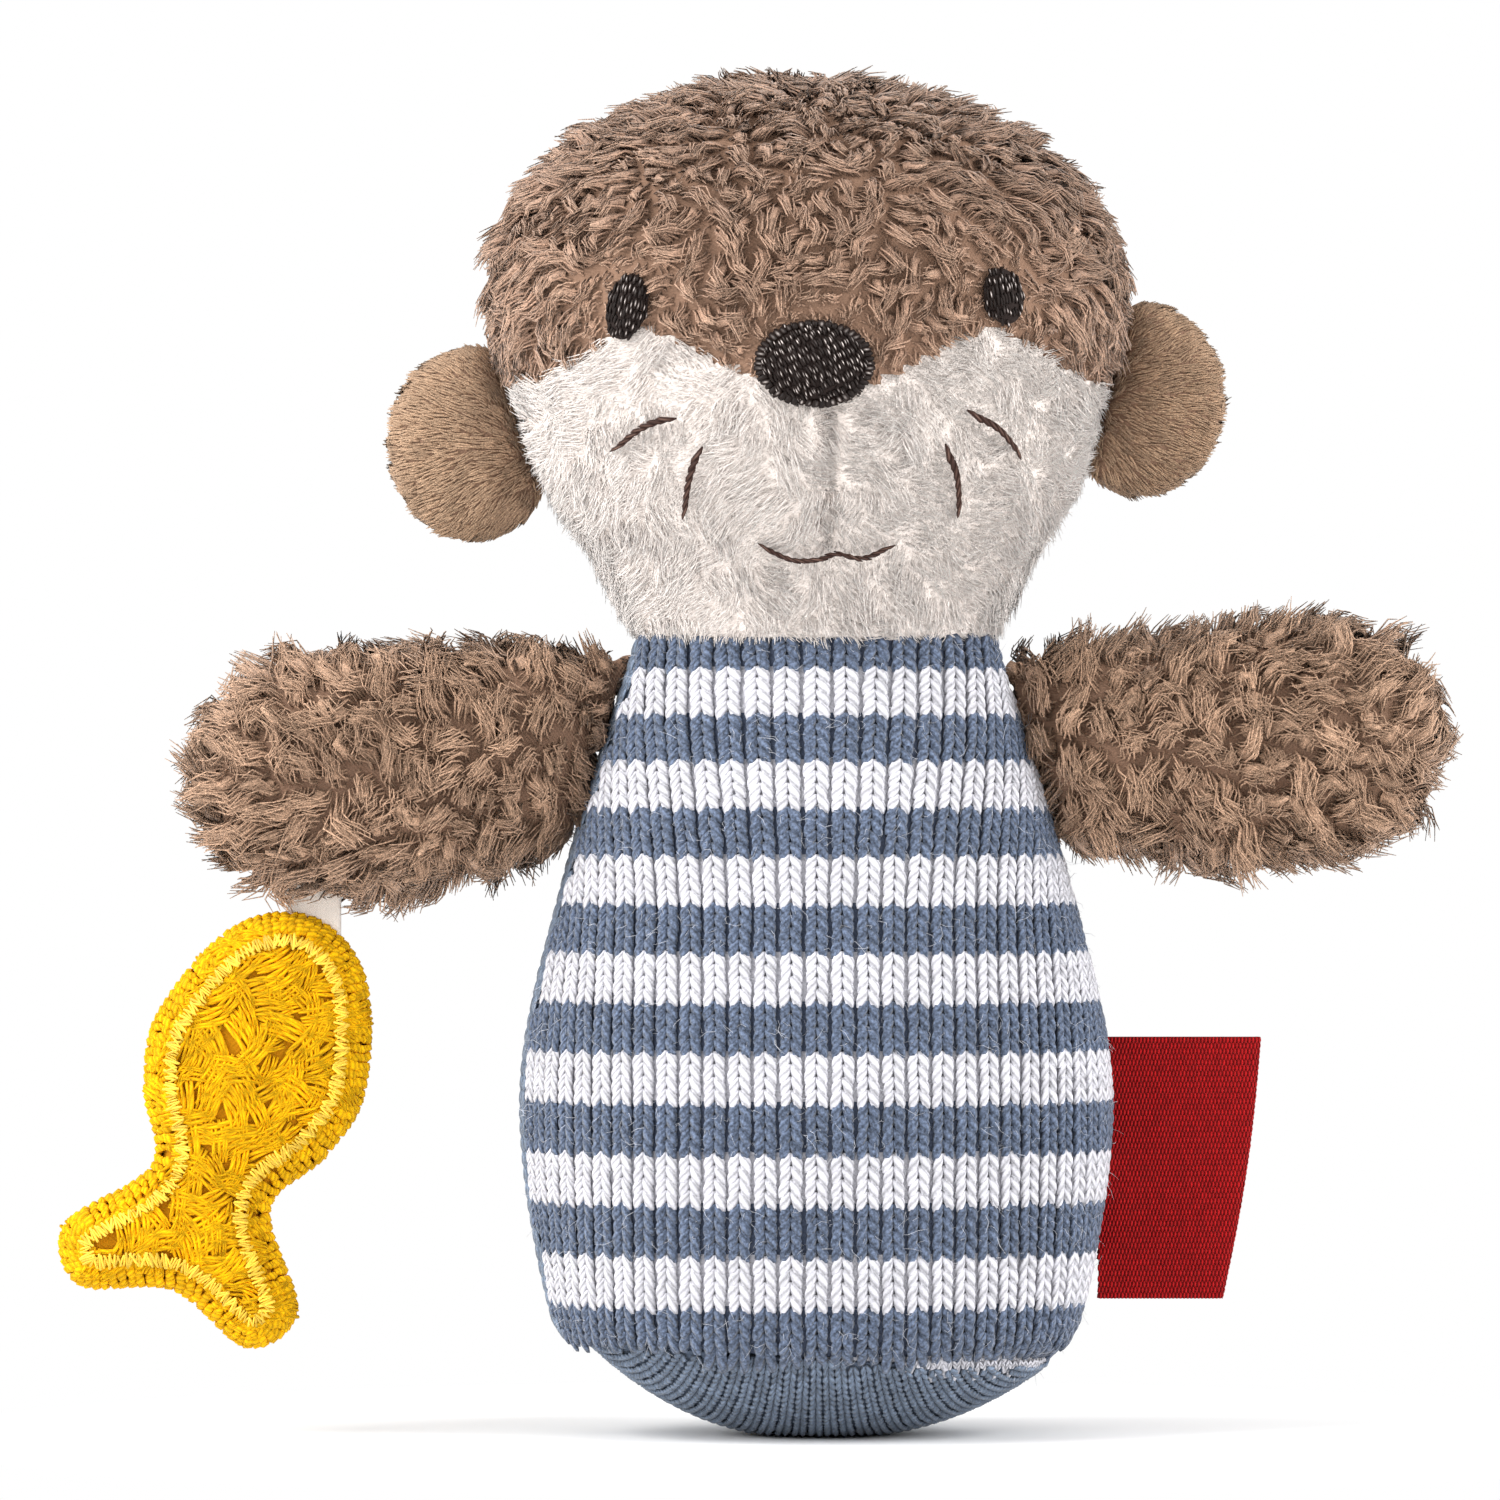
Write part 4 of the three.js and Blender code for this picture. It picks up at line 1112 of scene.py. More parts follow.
class PileTree(GeometryGraph):
    """Grows locks of fibre out of a surface."""

    OTHERS = {
        "source": Vector, "lean": Vector, "clear": Object, "near": float, "far": float, "seed": int,
        "finish": Material,
    }
    SCATTER = "GeometryNodeDistributePointsOnFaces"

    def __init__(self) -> None:
        """Builds the tree, with an input for each field of a pile."""
        super().__init__("pile", {item.name: item.type for item in fields(Pile)} | self.OTHERS)
        self.seed = self.given("seed")
        self._build()

    def _points(self) -> tuple[Wire, Wire]:
        """Scatters roots, and the guides whose locks they belong to.

        Returns:
            The roots, with their lock, strand and length stored, and the guides.
        """
        surface, spacing, near, far = self.given("Geometry", "lock", "near", "far")
        apart = {"Mesh": surface, "Distance Min": spacing, "Density Max": 3.0 / (spacing * spacing), "Seed": self.seed}
        guides = self.add(self.SCATTER, apart, "Points", distribute_method="POISSON")
        spread = {"Mesh": surface, "Density": self.given("strands"), "Seed": self.seed + 1.0}
        roots = self.add(self.SCATTER, spread, "Points", distribute_method="RANDOM")
        choice = {"Switch": self.given("single"), "False": roots, "True": guides}
        roots = self.add("GeometryNodeSwitch", choice, "Output", input_type="GEOMETRY")
        place = {"Geometry": guides, "Sample Position": self.position()}
        nearest = self.add("GeometryNodeSampleNearest", place, "Index", domain="POINT")
        roots = self.store(roots, "INT", lock=nearest, strand=self.index())
        gap = self.add("GeometryNodeProximity", {"Target": self.shape("clear")}, "Distance", target_element="FACES")
        trim = 1.0 - (1.0 - ((gap - near) / (far - near)).clamped()) * self.also(gap, "Is Valid")
        roots = self.store(roots, "FLOAT", trim=trim)
        bare = self.add("FunctionNodeCompare", {"A": trim, "B": 0.02}, "Result", operation="LESS_THAN")
        return self.drop(roots, bare), guides

    def _build(self) -> None:
        """Adds the tree's nodes."""
        roots, guides = self._points()
        strand, lock, joints = self.stored("strand", "INT"), self.stored("lock", "INT"), self.given("joints")
        amount = {"Geometry": roots, "Amount": joints}
        copies = self.add("GeometryNodeDuplicateElements", amount, "Geometry", domain="POINT")
        numbers = {
            ALONG: self.also(copies, "Duplicate Index") / (joints - 1.0),
            SHADE: self.random(0.0, 1.0, strand, self.seed + 2.0),
            LOCK_SHADE: self.random(0.0, 1.0, lock, self.seed + 3.0),
        }
        points = self.store(copies, "FLOAT", **numbers)
        base, normal = (
            self.add(
                "GeometryNodeSampleIndex", {"Geometry": guides, "Value": value, "Index": lock}, "Value",
                data_type=VECTORS, domain="POINT",
            )
            for value in (self.position(), self.also(guides, "Normal"))
        )
        spread = (self.position() - base) * (self.given("bulge") / self.given("lock"))
        facing = (normal + spread + self.random_vector(0.2, strand, self.seed + 10.0)).vector("NORMALIZE")
        points = self.store(points, VECTORS, **{FACING: facing})
        path = self._path(strand, lock, base, normal)
        points = self.add("GeometryNodeSetPosition", {"Geometry": points, "Position": path})
        along = self.stored(ALONG)
        order = {"Points": points, "Curve Group ID": strand, "Weight": along}
        circle = {"Resolution": self.given("sides"), "Radius": 1.0}
        tube = {
            "Curve": self.add("GeometryNodePointsToCurves", order, "Curves"),
            "Profile Curve": self.add("GeometryNodeCurvePrimitiveCircle", circle, "Curve", mode="RADIUS"),
            "Scale": (1.0 - along**2.0 * 0.7) * self.given("radius"), "Fill Caps": True,
        }
        tubes = self.add("GeometryNodeCurveToMesh", tube, "Mesh")
        for label in ("strand", "lock", "trim"):
            tubes = self.add("GeometryNodeRemoveAttribute", {"Geometry": tubes, "Name": label})
        self.end(tubes)

    def _path(self, strand: Wire, lock: Wire, base: Wire, normal: Wire) -> Wire:
        """Leads a strand from its root to its tip.

        Args:
            strand: Number of the strand.
            lock: Number of its lock.
            base: Place of the lock's guide.
            normal: Surface normal there.

        Returns:
            Places of the strand's points.
        """
        seed, along, trim = self.seed, self.stored(ALONG), self.stored("trim")
        swirl, stray, lift = self.given("swirl", "stray", "lift")
        away = (base - self.given("source")).vector("NORMALIZE") + self.given("lean")
        flat = (away - normal * away.vector("DOT_PRODUCT", normal, output=1)).vector("NORMALIZE")
        across = normal.vector("CROSS_PRODUCT", flat)
        eddy = self.noise(base * self.given("swirl_scale"), 1.0, 1.0) * 2.0 - 1.0
        angle = eddy * swirl * 2.0 + self.random(-1.0, 1.0, lock, seed + 4.0) * swirl * 0.5
        flow = flat * angle.number("COSINE") + across * angle.number("SINE")
        side = normal.vector("CROSS_PRODUCT", flow)

        def swing(phase: Wire, rise: float, reach: str) -> Wire:
            """A swing to the side and, by a share, up and down."""
            return (side * phase.number("SINE") + normal * (phase.number("COSINE") * rise)) * self.given(reach)

        uneven = self.random(1.0 - stray, 1.0 + stray * 0.5, lock, seed + 5.0)
        length = self.given("length") * (uneven * self.random(0.8, 1.1, strand, seed + 6.0)) * trim
        rise = length * lift * along * (1.7 - along * 0.7)
        forward = length * (1.0 - lift) * along * (0.4 + along * 0.6)
        phase = self.random(0.0, math.tau, lock, seed + 7.0) + along * self.given("turns") * math.tau
        gather = 1.0 - (along**0.8) * self.given("clump")
        loose = self.random_vector(1.0, strand, seed + 8.0) * (length * along * self.given("jitter"))
        beat = self.random(0.0, math.tau, strand, seed + 9.0) + along * (1.4 * math.tau)
        bends = (swing(phase, 0.5, "curl") + swing(beat, 0.4, "wave")) * (along * trim)
        return base + (self.position() - base) * gather + normal * rise + flow * forward + bends + loose

    def grow(
        self, name: str, skin: Mesh, pile: Pile, finish: Finish, source: Vector, seed: int,
        lean: Sequence[float] = (0.0, 0.0, 0.0), clear: Object | None = None, trim: Pair = (0.3 * MM, 1.5 * MM),
    ) -> Object:
        """Grows pile on a skin.

        Args:
            name: Name of the new piece.
            skin: Open mesh whose faces carry the pile.
            pile: How the pile stands.
            finish: The pile's finish.
            source: The pile lies away from this point.
            seed: Its seed.
            lean: Added to its direction.
            clear: Object that it is cut short round.
            trim: Distances from that where it starts and where it is at full length.

        Returns:
            The pile as one mesh.
        """
        values = {
            "source": tuple(source), "lean": tuple(lean), "near": trim[0], "far": trim[1], "seed": seed,
            "finish": finish.material(),
        }
        return self.run(name, skin, asdict(pile) | values | ({"clear": clear} if clear else {}))


class Workshop:
    """The trees that the sub-assemblies share, and how finished pieces join the frame."""

    CLOTH_SCALE = 20.0
    CLOTH_STEPS = 20
    PRESSURE = 4.0
    SLACK = -0.06
    INSET = 0.6 * MM
    FULL = 0.9

    def __init__(self) -> None:
        """Builds the trees."""
        self.stitchwork, self.piles = Stitchwork(), PileTree()

    def piece(
        self, obj: Object, body: str, slot: str, replaces: Sequence[str] = (), padded: float | None = None
    ) -> Object:
        """Joins a finished piece to the frame.

        Args:
            obj: The piece.
            body: CAD body it rides on.
            slot: Not used.
            replaces: CAD nodes it stands for.
            padded: Not used.

        Returns:
            The piece.
        """
        if replaces:
            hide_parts(*replaces)
        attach(obj, body)
        obj.data.calc_loop_triangles()
        log.info("%s on %s: %d triangles", obj.name, body, len(obj.data.loop_triangles))
        return obj

    def panel(self, name: str, skin: Mesh, thickness: float, finish: Finish, *joint: Any) -> Object:
        """Adds a closed panel: a skin with a thickness, inward; joint is what piece() takes."""
        mesh = worked(name, skin.copy(), ("SOLIDIFY", {"thickness": thickness, "offset": -1.0}))
        return self.piece(add_object(name, dress(mesh, finish)), *joint)

    def stitches(self, name: str, sheet: Mesh, stitch: Stitch, finish: Finish, *joint: Any, **values: Any) -> Object:
        """Adds stitches laid on a sheet; joint is what piece() takes and values are the tree's inputs."""
        return self.piece(self.stitchwork.lay(name, sheet, stitch, finish, **values), *joint)

    def pelt(self, name: str, skin: Mesh, pile: Pile, finish: Finish, *joint: Any, **values: Any) -> Object:
        """Adds pile grown on a skin; joint is what piece() takes and values go to the tree."""
        return self.piece(self.piles.grow(name, skin, pile, finish, **values), *joint)

    def filling(self, node: str, body: str) -> Object:
        """Adds a soft clump of stuffing in place of its CAD solid, a little inside it."""
        mesh = softened(node, [node], 1.2 * MM, 4, ("DISPLACE", {"strength": -self.INSET, "mid_level": 0.0}))
        return self.piece(add_object(f"{node}_soft", dress(mesh, FILL)), body, "stuffing", [node], self.FULL)

    def inflate(self, soft: Mesh, held: Sequence[int], limit: float) -> Mesh:
        """Puffs up a soft form with a short cloth simulation under inner pressure.

        Args:
            soft: Closed form.
            held: Numbers of the points that are sewn down.
            limit: The farthest that a point moves.

        Returns:
            The puffed form, subdivided once.
        """
        large = soft.copy()
        large.transform(Matrix.Scale(self.CLOTH_SCALE, 4))
        obj = add_object("inflate", large)
        obj.vertex_groups.new(name="held").add(list(held), 1.0, "REPLACE")
        settings = obj.modifiers.new("cloth", "CLOTH").settings
        settings.use_pressure = True
        settings.uniform_pressure_force = self.PRESSURE
        settings.shrink_min = self.SLACK
        settings.vertex_group_mass = "held"
        settings.effector_weights.gravity = 0.0
        for step in range(1, self.CLOTH_STEPS + 1):
            bpy.context.scene.frame_set(step)
        for vertex, moved in zip(soft.vertices, evaluated(obj).vertices):
            way = moved.co / self.CLOTH_SCALE - vertex.co
            vertex.co += way * min(1.0, limit / max(way.length, 1.0e-9))
        bpy.context.scene.frame_set(1)
        bpy.data.objects.remove(obj)
        return worked(soft.name, soft, ("SUBSURF", {"levels": 1, "render_levels": 1}))

    def skin(self, name: str, soft: Mesh, nodes: Sequence[str], wanted: str) -> Mesh:
        """Cuts out the part of a soft form that belongs to one of its panels.

        Args:
            name: Name of the new mesh.
            soft: The whole form.
            nodes: All its panels.
            wanted: The panel.

        Returns:
            An open mesh.
        """
        trees = {node: Surface(cad_mesh("lookup", [node])) for node in nodes}

        def owned(at: Vector) -> bool:
            """Whether the wanted panel is the nearest one."""
            return min(trees, key=lambda node: trees[node].distance(at)) == wanted

        return cut_out(soft, bpy.data.meshes.new(name), owned)


@dataclass
class Assembly:
    """A part of the toy that is made in the workshop."""

    shop: Workshop


@dataclass
class KnitBody(Assembly):
    """The stuffed body: striped front, plain back, ribbed base. Stations are half widths and heights in mm."""

    stations: Sequence[Pair] = ((20.7, 6.2), (21.6, 7.9), (25.2, 12), (27.9, 32), (23.9, 52), (17.2, 74))
    flatness: float = 22.8 / 27.9
    seam_y: float = -2.5 * MM
    seam_turn: float = math.radians(5.0)
    inset: float = 0.55 * MM
    wale: float = 2.35 * MM
    neck_wale: float = 2.75 * MM
    neck_start: float = 48 * MM
    neck_reach: float = 24 * MM
    course: float = 1.2015 * MM
    crowding: float = 0.00133 * MM
    first_edge: float = 13.05 * MM
    stripe_courses: int = 4
    hem_height: float = 8.0 * MM
    hem_tilt: float = -0.06
    front_tilt: float = 0.07
    top: float = 75.2 * MM
    back_wale: float = 1.7 * MM
    back_course: float = 1.45 * MM
    rib: float = 1.1 * MM
    rib_course: float = 0.72 * MM
    rib_fan: float = 0.55
    base_half: float = 21.6 * MM
    base_rise: float = 8.1 * MM
    base_power: float = 2.3
    base_lift: float = 0.62 * MM
    base_reach: float = 0.985
    hem_turns: Pair = (0.38, 1.5)
    hem_loop: Pair = (1.1 * MM, 0.8 * MM)
    base_cut: float = 0.5 * MM
    panel: float = 0.8 * MM

    FUZZ = Pile(6.5e5, 1.9 * MM, 0.025 * MM, 1.2 * MM, 0.4, 0.2, 3.0, 300.0, 0.4 * MM, 0.8, 0.5, 4)

    def __post_init__(self) -> None:
        """Samples the profile, and arc length round a section of half width 1."""
        self.profile = spline(open_knots(np.array(self.stations) * MM), np.linspace(0.0, 1.0, 24))
        self.turns = np.linspace(-math.pi, math.pi, 721)
        speed = np.hypot(np.cos(self.turns), self.flatness * np.sin(self.turns))
        run = np.concatenate([[0.0], np.cumsum((speed[1:] + speed[:-1]) / 2 * np.diff(self.turns))])
        self.run = run - run[len(run) // 2]
        self.base_depth = self.flatness * self.base_half

    def half_width(self, z: Array) -> Array:
        """Half width of the knit's backing at a height."""
        return np.interp(z, self.profile[:, 1], self.profile[:, 0]) - self.inset

    def around(self, turn: Array, z: Array) -> Array:
        """The point at an angle from the front, at a height."""
        half = self.half_width(z)
        return np.stack([half * np.sin(turn), -self.flatness * half * np.cos(turn), z], axis=-1)

    def seam_angle(self, z: Array, side: Side) -> Array:
        """Finds the angle from the front to a side seam.

        Args:
            z: Heights.
            side: Which seam.

        Returns:
            The angles, negative on the left.
        """
        half = self.half_width(z)
        turn = np.full(z.shape, 1.4)
        for _ in range(4):
            edge = self.seam_y + side.value * half * np.sin(turn) * math.tan(self.seam_turn)
            turn = np.arccos(np.clip(-edge / (self.flatness * half), -1.0, 1.0))
        return side.value * turn

    def wale_at(self, z: Array) -> Array:
        """Width of a wale at a height; the knit is stretched wider at the neck."""
        share = np.clip((z - self.neck_start) / self.neck_reach, 0.0, 1.0)
        return self.wale + (self.neck_wale - self.wale) * share * share * (3 - 2 * share)

    def span(self, tilt: float, columns: int) -> tuple[Array, Array, Array, Array]:
        """Spreads a grid between the side seams, from the hem to the neck.

        Args:
            tilt: Slope of the hem.
            columns: Grid points across.

        Returns:
            Heights, shares across, and the angles of the left and the right seam.
        """
        shares, across = grid(np.linspace(0.0, 1.0, 61), np.linspace(0.0, 1.0, columns))
        hem = self.hem_height + tilt * self.base_half * np.cos(math.pi * across)
        z = hem + (self.top - hem) * shares
        return z, across, self.seam_angle(z, Side.LEFT), self.seam_angle(z, Side.RIGHT)

    def front_point(self, u: Array, v: Array) -> Array:
        """Point of the front for a wale, from the middle, and a course, from the foot of the lowest white stripe."""
        z = self.first_edge + v * (self.course - self.crowding * v)
        return self.around(np.interp(u * self.wale_at(z) / self.half_width(z), self.run, self.turns), z)

    def front_sheet(self) -> Mesh:
        """Charts the front.

        Returns:
            The charted sheet.
        """
        z, across, left, right = self.span(self.front_tilt, 49)
        turn = left + (right - left) * across
        u = np.interp(turn, self.turns, self.run) * self.half_width(z) / self.wale_at(z)
        root = np.sqrt(self.course**2 - 4 * self.crowding * (z - self.first_edge))
        return sheet_mesh("front_sheet", self.front_point, u, (self.course - root) / (2 * self.crowding))

    def back_point(self, u: Array, v: Array) -> Array:
        """Gives a point of the back.

        Args:
            u: Wale, 0 in the middle of the back.
            v: Course, 0 at the hem.

        Returns:
            The points.
        """
        z = self.hem_height + v * self.back_course
        behind = self.run[-1] + u * self.back_wale / self.half_width(z)
        wrapped = np.where(behind > self.run[-1], behind - 2 * self.run[-1], behind)
        return self.around(np.interp(wrapped, self.run, self.turns), z)

    def back_sheet(self) -> Mesh:
        """Charts the back.

        Returns:
            The charted sheet.
        """
        z, across, left, right = self.span(self.hem_tilt, 61)
        half = self.half_width(z)
        start = (np.interp(right, self.turns, self.run) - self.run[-1]) * half
        end = (np.interp(left, self.turns, self.run) + self.run[-1]) * half
        u = (start + (end - start) * across) / self.back_wale
        return sheet_mesh("back_sheet", self.back_point, u, (z - self.hem_height) / self.back_course)

    def spread(self, y: Array) -> Array:
        """How much wider a rib of the base is at a place from front to back; the ribs fan out."""
        return 1 + self.rib_fan * np.clip(1 + y / self.base_depth, 0.0, 2.0)

    def base_point(self, u: Array, v: Array) -> Array:
        """Gives a point of the base.

        Args:
            u: Rib, 0 in the middle.
            v: Course, 0 at the back and more towards the front seam.

        Returns:
            The points.
        """
        y = self.base_depth - v * self.rib_course
        x = u * self.rib * self.spread(y)
        reach = np.hypot(x / self.base_half, y / self.base_depth)
        rise = self.base_rise * reach**self.base_power - self.base_cut + self.hem_tilt * x * np.minimum(reach, 1.0)
        return np.stack([x, y, np.maximum(rise, 0.02 * MM) + self.base_lift], axis=-1)

    def base_sheet(self) -> Mesh:
        """Charts the base.

        Returns:
            The charted sheet.
        """
        reach, turn = grid(np.linspace(0.01, self.base_reach, 40), np.linspace(0.0, math.tau, 72, endpoint=False))
        x, y = self.base_half * reach * np.cos(turn), self.base_depth * reach * np.sin(turn)
        u, v = x / (self.rib * self.spread(y)), (self.base_depth - y) / self.rib_course
        return sheet_mesh("base_sheet", self.base_point, u, v, wrap=True)

    def hem_point(self, u: Array, v: Array) -> Array:
        """Gives a point of the white course on the base seam.

        Args:
            u: Wale, 0 in the middle of the front.
            v: Course above the seam.

        Returns:
            The points.
        """
        half = self.base_reach * self.base_half
        turn = u * self.hem_loop[0] / half
        x, y = half * np.sin(turn), -self.flatness * half * np.cos(turn)
        edge = self.base_rise * self.base_reach**self.base_power - self.base_cut + self.base_lift
        return np.stack([x, y, edge + self.hem_tilt * x + v * self.hem_loop[1]], axis=-1)

    def hem_sheet(self) -> Mesh:
        """The charted sheet of the white course, which shows only at the right."""
        first, last = (turn * self.base_reach * self.base_half / self.hem_loop[0] for turn in self.hem_turns)
        return sheet_mesh("hem_sheet", self.hem_point, *grid((0.0, 1.0), np.linspace(first, last, 25))[::-1])

    def build(self) -> None:
        """Makes the body's pieces."""
        # The striped backing is darker than its yarn in both stripes: painted shade in the gaps between loops.
        stripes = StripeClothFinish(
            "knit_backing_striped", srgb(74, 82, 100), 0.95, 0.0, 0.5 * MM, 0.08 * MM, srgb(196, 195, 202),
            self.first_edge, self.course, self.crowding, self.stripe_courses,
        )
        front, back, base = self.front_sheet(), self.back_sheet(), self.base_sheet()
        striped, plain = ("torso", "knit_striped"), ("torso", "knit_plain")
        self.shop.panel("body_front", front, self.panel, stripes, *striped, ["body_front_panel"], 0.9)
        self.shop.panel("body_back", back, self.panel, PLAIN_SHADE_CLOTH, *plain, ["body_back_panel"], 0.9)
        self.shop.panel("body_base", base, self.panel, PLAIN_SHADE_CLOTH, *plain, ["base_panel"], 0.9)
        self.shop.stitches(
            "body_front_loops", front, Stitch.LOOP, STRIPED_YARN, *striped, depth=0.62 * MM, size_jitter=0.05,
            turn_jitter=0.06, place_jitter=0.03, stripe_rows=float(self.stripe_courses), seed=3,
        )
        self.shop.stitches(
            "body_back_loops", back, Stitch.FINE_LOOP, PLAIN_YARN, *plain, depth=0.4 * MM, size_jitter=0.06,
            turn_jitter=0.08, seed=5,
        )
        self.shop.stitches(
            "body_base_loops", base, Stitch.FINE_LOOP, PLAIN_YARN, *plain, depth=0.5 * MM, size_jitter=0.1,
            turn_jitter=0.12, seed=7,
        )
        self.shop.stitches(
            "body_hem_loops", self.hem_sheet(), Stitch.FINE_LOOP, STRIPED_YARN, *striped, depth=0.45 * MM,
            size_jitter=0.15, turn_jitter=0.3, place_jitter=0.1, seed=8,
        )
        self.shop.pelt("body_fuzz", front, self.FUZZ, KNIT_FUZZ, *striped, source=Vector((0.0, 0.0, 0.1)), seed=9)
        for node in ("body_stuffing_lower", "body_stuffing_upper"):
            self.shop.filling(node, "torso")


@dataclass
class Rattle:
    """The capsule and beads inside the body."""

    beads: int = 6

    def build(self) -> None:
        """Gives the CAD solids their plastics."""
        for node in ("capsule_lower", "capsule_upper", *(f"bead_{number}" for number in range(1, self.beads + 1))):
            dress(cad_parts[node].data, CAPSULE_PLASTIC if node.startswith("capsule") else BEAD_PLASTIC)


@dataclass
class Head(Assembly):
    """The plush head with its embroidered face. The mouth's and whiskers' points are X and Z in mm."""

    crown: Vector = field(default_factory=lambda: Vector((-2.0, -4.0, 132.0)) * MM)
    snout: Vector = field(default_factory=lambda: Vector((0.0, -28.0, 101.0)) * MM)
    nose_centre: Pair = (-0.2 * MM, 99.5 * MM)
    nose_half: Pair = (5.3 * MM, 3.8 * MM)
    nose_lean: float = math.radians(28.0)
    nose_edge_stitches: int = 52
    eye_width: float = 1.85 * MM
    eye_spots: Sequence[tuple[Side, Pair, float, float]] = (
        (Side.LEFT, (-17.4 * MM, 104.9 * MM), 3.05 * MM, math.radians(14.0)),
        (Side.RIGHT, (17.2 * MM, 105.9 * MM), 2.6 * MM, math.radians(-12.0)),
    )
    mouth: Sequence[Pair] = (
        (-5.3, 83.0), (-2.3, 81.7), (0.2, 81.7), (1.8, 82.2), (4.0, 81.8), (5.8, 82.4), (7.5, 83.4)
    )
    whiskers: Sequence[tuple[str, Sequence[Pair]]] = (
        ("whisker_left_upper", ((-13.0, 94.8), (-16.0, 93.8), (-18.9, 91.6))),
        ("whisker_left_lower", ((-10.7, 92.0), (-11.7, 89.0), (-12.2, 85.4))),
        ("whisker_right_upper", ((13.8, 95.2), (16.8, 93.7), (19.1, 91.1))),
        ("whisker_right_lower", ((11.7, 92.1), (12.9, 89.4), (13.2, 85.6))),
    )
    thread_width: float = 0.78 * MM
    face_lift: float = 1.3 * MM
    seam_x: float = 1.2 * MM
    seam_heights: Pair = (83.5 * MM, 96.0 * MM)
    fold_depth: float = 1.6 * MM
    fold_width: float = 1.1 * MM
    tuft_gap: float = 1.2 * MM

    MUZZLE = ("muzzle_left", "muzzle_right")
    CHEST = ("body_front_panel", "body_back_panel")
    PANELS = ("forehead_panel", "back_head_panel", *MUZZLE)
    STITCHED = ("head", "dark_thread")
    TUFTS = Pile(0.0, 3.2 * MM, 0.55 * MM, 1.5 * MM, 0.32, 0.0, 1.5, 170.0, 0.6 * MM, 0.7, 0.05, 4, 0.35, 0.0, 5, True)
    FIBRES = Pile(
        3.5e6, 4.0 * MM, 0.12 * MM, 1.5 * MM, 0.38, 0.45, 1.5, 170.0, 0.65 * MM, 0.7, 0.09, 4, 0.35, 0.15 * MM
    )
    BACK_FIBRES = replace(FIBRES, strands=1.4e6, radius=0.18 * MM)
    WHITE_FIBRES = Pile(
        8.2e6, 2.3 * MM, 0.058 * MM, 1.9 * MM, 0.28, 0.0, 1.3, 150.0, 0.3 * MM, 0.6, 0.2, 3, 0.3, 0.05 * MM, bulge=0.2
    )

    def build(self) -> None:
        """Makes the head's pieces."""
        soft = keep_largest(softened("head_soft", [*self.PANELS, "head_stuffing"], 0.9 * MM, 5))
        self._fold(soft)
        self.surface = Surface(soft)
        brown, white = (BROWN_PILE, BROWN_CLOTH, "plush_brown"), (WHITE_PILE, WHITE_CLOTH, "plush_white")
        over, behind, fringe = (-0.8 * MM, 3.6 * MM), (0.4 * MM, 9.0 * MM), (-3.0 * MM, 3.6 * MM)
        face = ["nose", "eye_left", "eye_right", "mouth_stitch", *(node for node, _ in self.whiskers)]
        for node, piles, (finish, cloth, slot), source, around, trim, seed in (
            ("forehead_panel", (self.FIBRES, self.TUFTS), brown, self.crown, self.MUZZLE, over, 14),
            ("back_head_panel", (self.BACK_FIBRES, self.TUFTS), brown, self.crown, self.MUZZLE, behind, 15),
            ("muzzle_left", (self.WHITE_FIBRES,), white, self.snout, self.CHEST, fringe, 11),
            ("muzzle_right", (self.WHITE_FIBRES,), white, self.snout, self.CHEST, fringe, 12),
        ):
            skin = self.shop.skin(f"{node}_skin", soft, self.PANELS, node)
            self.shop.panel(f"{node}_soft", skin, 1.0 * MM, cloth, "head", slot, [node], 0.85)
            clear = add_object("clear", cad_mesh("clear", [*face, *around]))
            for pile, word, near in zip(piles, ("fuzz", "tufts"), (trim[0], self.tuft_gap)):
                self.shop.pelt(
                    f"{node}_{word}", skin, pile, finish, "head", slot, source=source, lean=(0.0, 0.0, -0.25),
                    clear=clear, trim=(near, trim[1]), seed=seed,
                )
            bpy.data.objects.remove(clear)
        self.shop.filling("head_stuffing", "head")
        self._nose()
        for side, centre, tall, lean in self.eye_spots:
            node = f"eye_{side.word}"
            half = (self.eye_width, tall)
            sheet = self._patch(f"{node}_sheet", centre, half, lean, lean, (0.27 * MM, 1.0 * MM), 2.2 * MM)
            self._pad(node, sheet, 1.0 * MM, 0.28 * MM, 0.12, 13)
        self._thread("mouth_stitch", self.mouth, (0.62, 0.62))
        for node, path in self.whiskers:
            self._thread(node, path, (0.95, 0.6))

    def _fold(self, soft: Mesh) -> None:
        """Draws the muzzle in along its middle seam.

        Args:
            soft: The head, changed in place.
        """
        low, high = self.seam_heights
        for vertex in soft.vertices:
            inside = min(vertex.co.z - low, high - vertex.co.z)
            if vertex.co.y < 0.0 and inside > -self.fold_width:
                share = min(1.0, 0.5 + 0.5 * inside / self.fold_width)
                off = (vertex.co.x - self.seam_x) / self.fold_width
                vertex.co.y += self.fold_depth * share * math.exp(-(off**2))

    def _patch(
        self, name: str, centre: Pair, half: Pair, lean: float, turn: float, unit: Pair, lift: float
    ) -> Mesh:
        """Charts an oval on the face.

        Args:
            name: Name of the sheet.
            centre: Its middle, X and Z.
            half: Half its width and height.
            lean: How far its top leans to the right.
            turn: How far its stitches lean.
            unit: Gap between rows of stitches, and length of a stitch.
            lift: How far its middle stands forward.

        Returns:
            The sheet.
        """
        gap, reach = unit

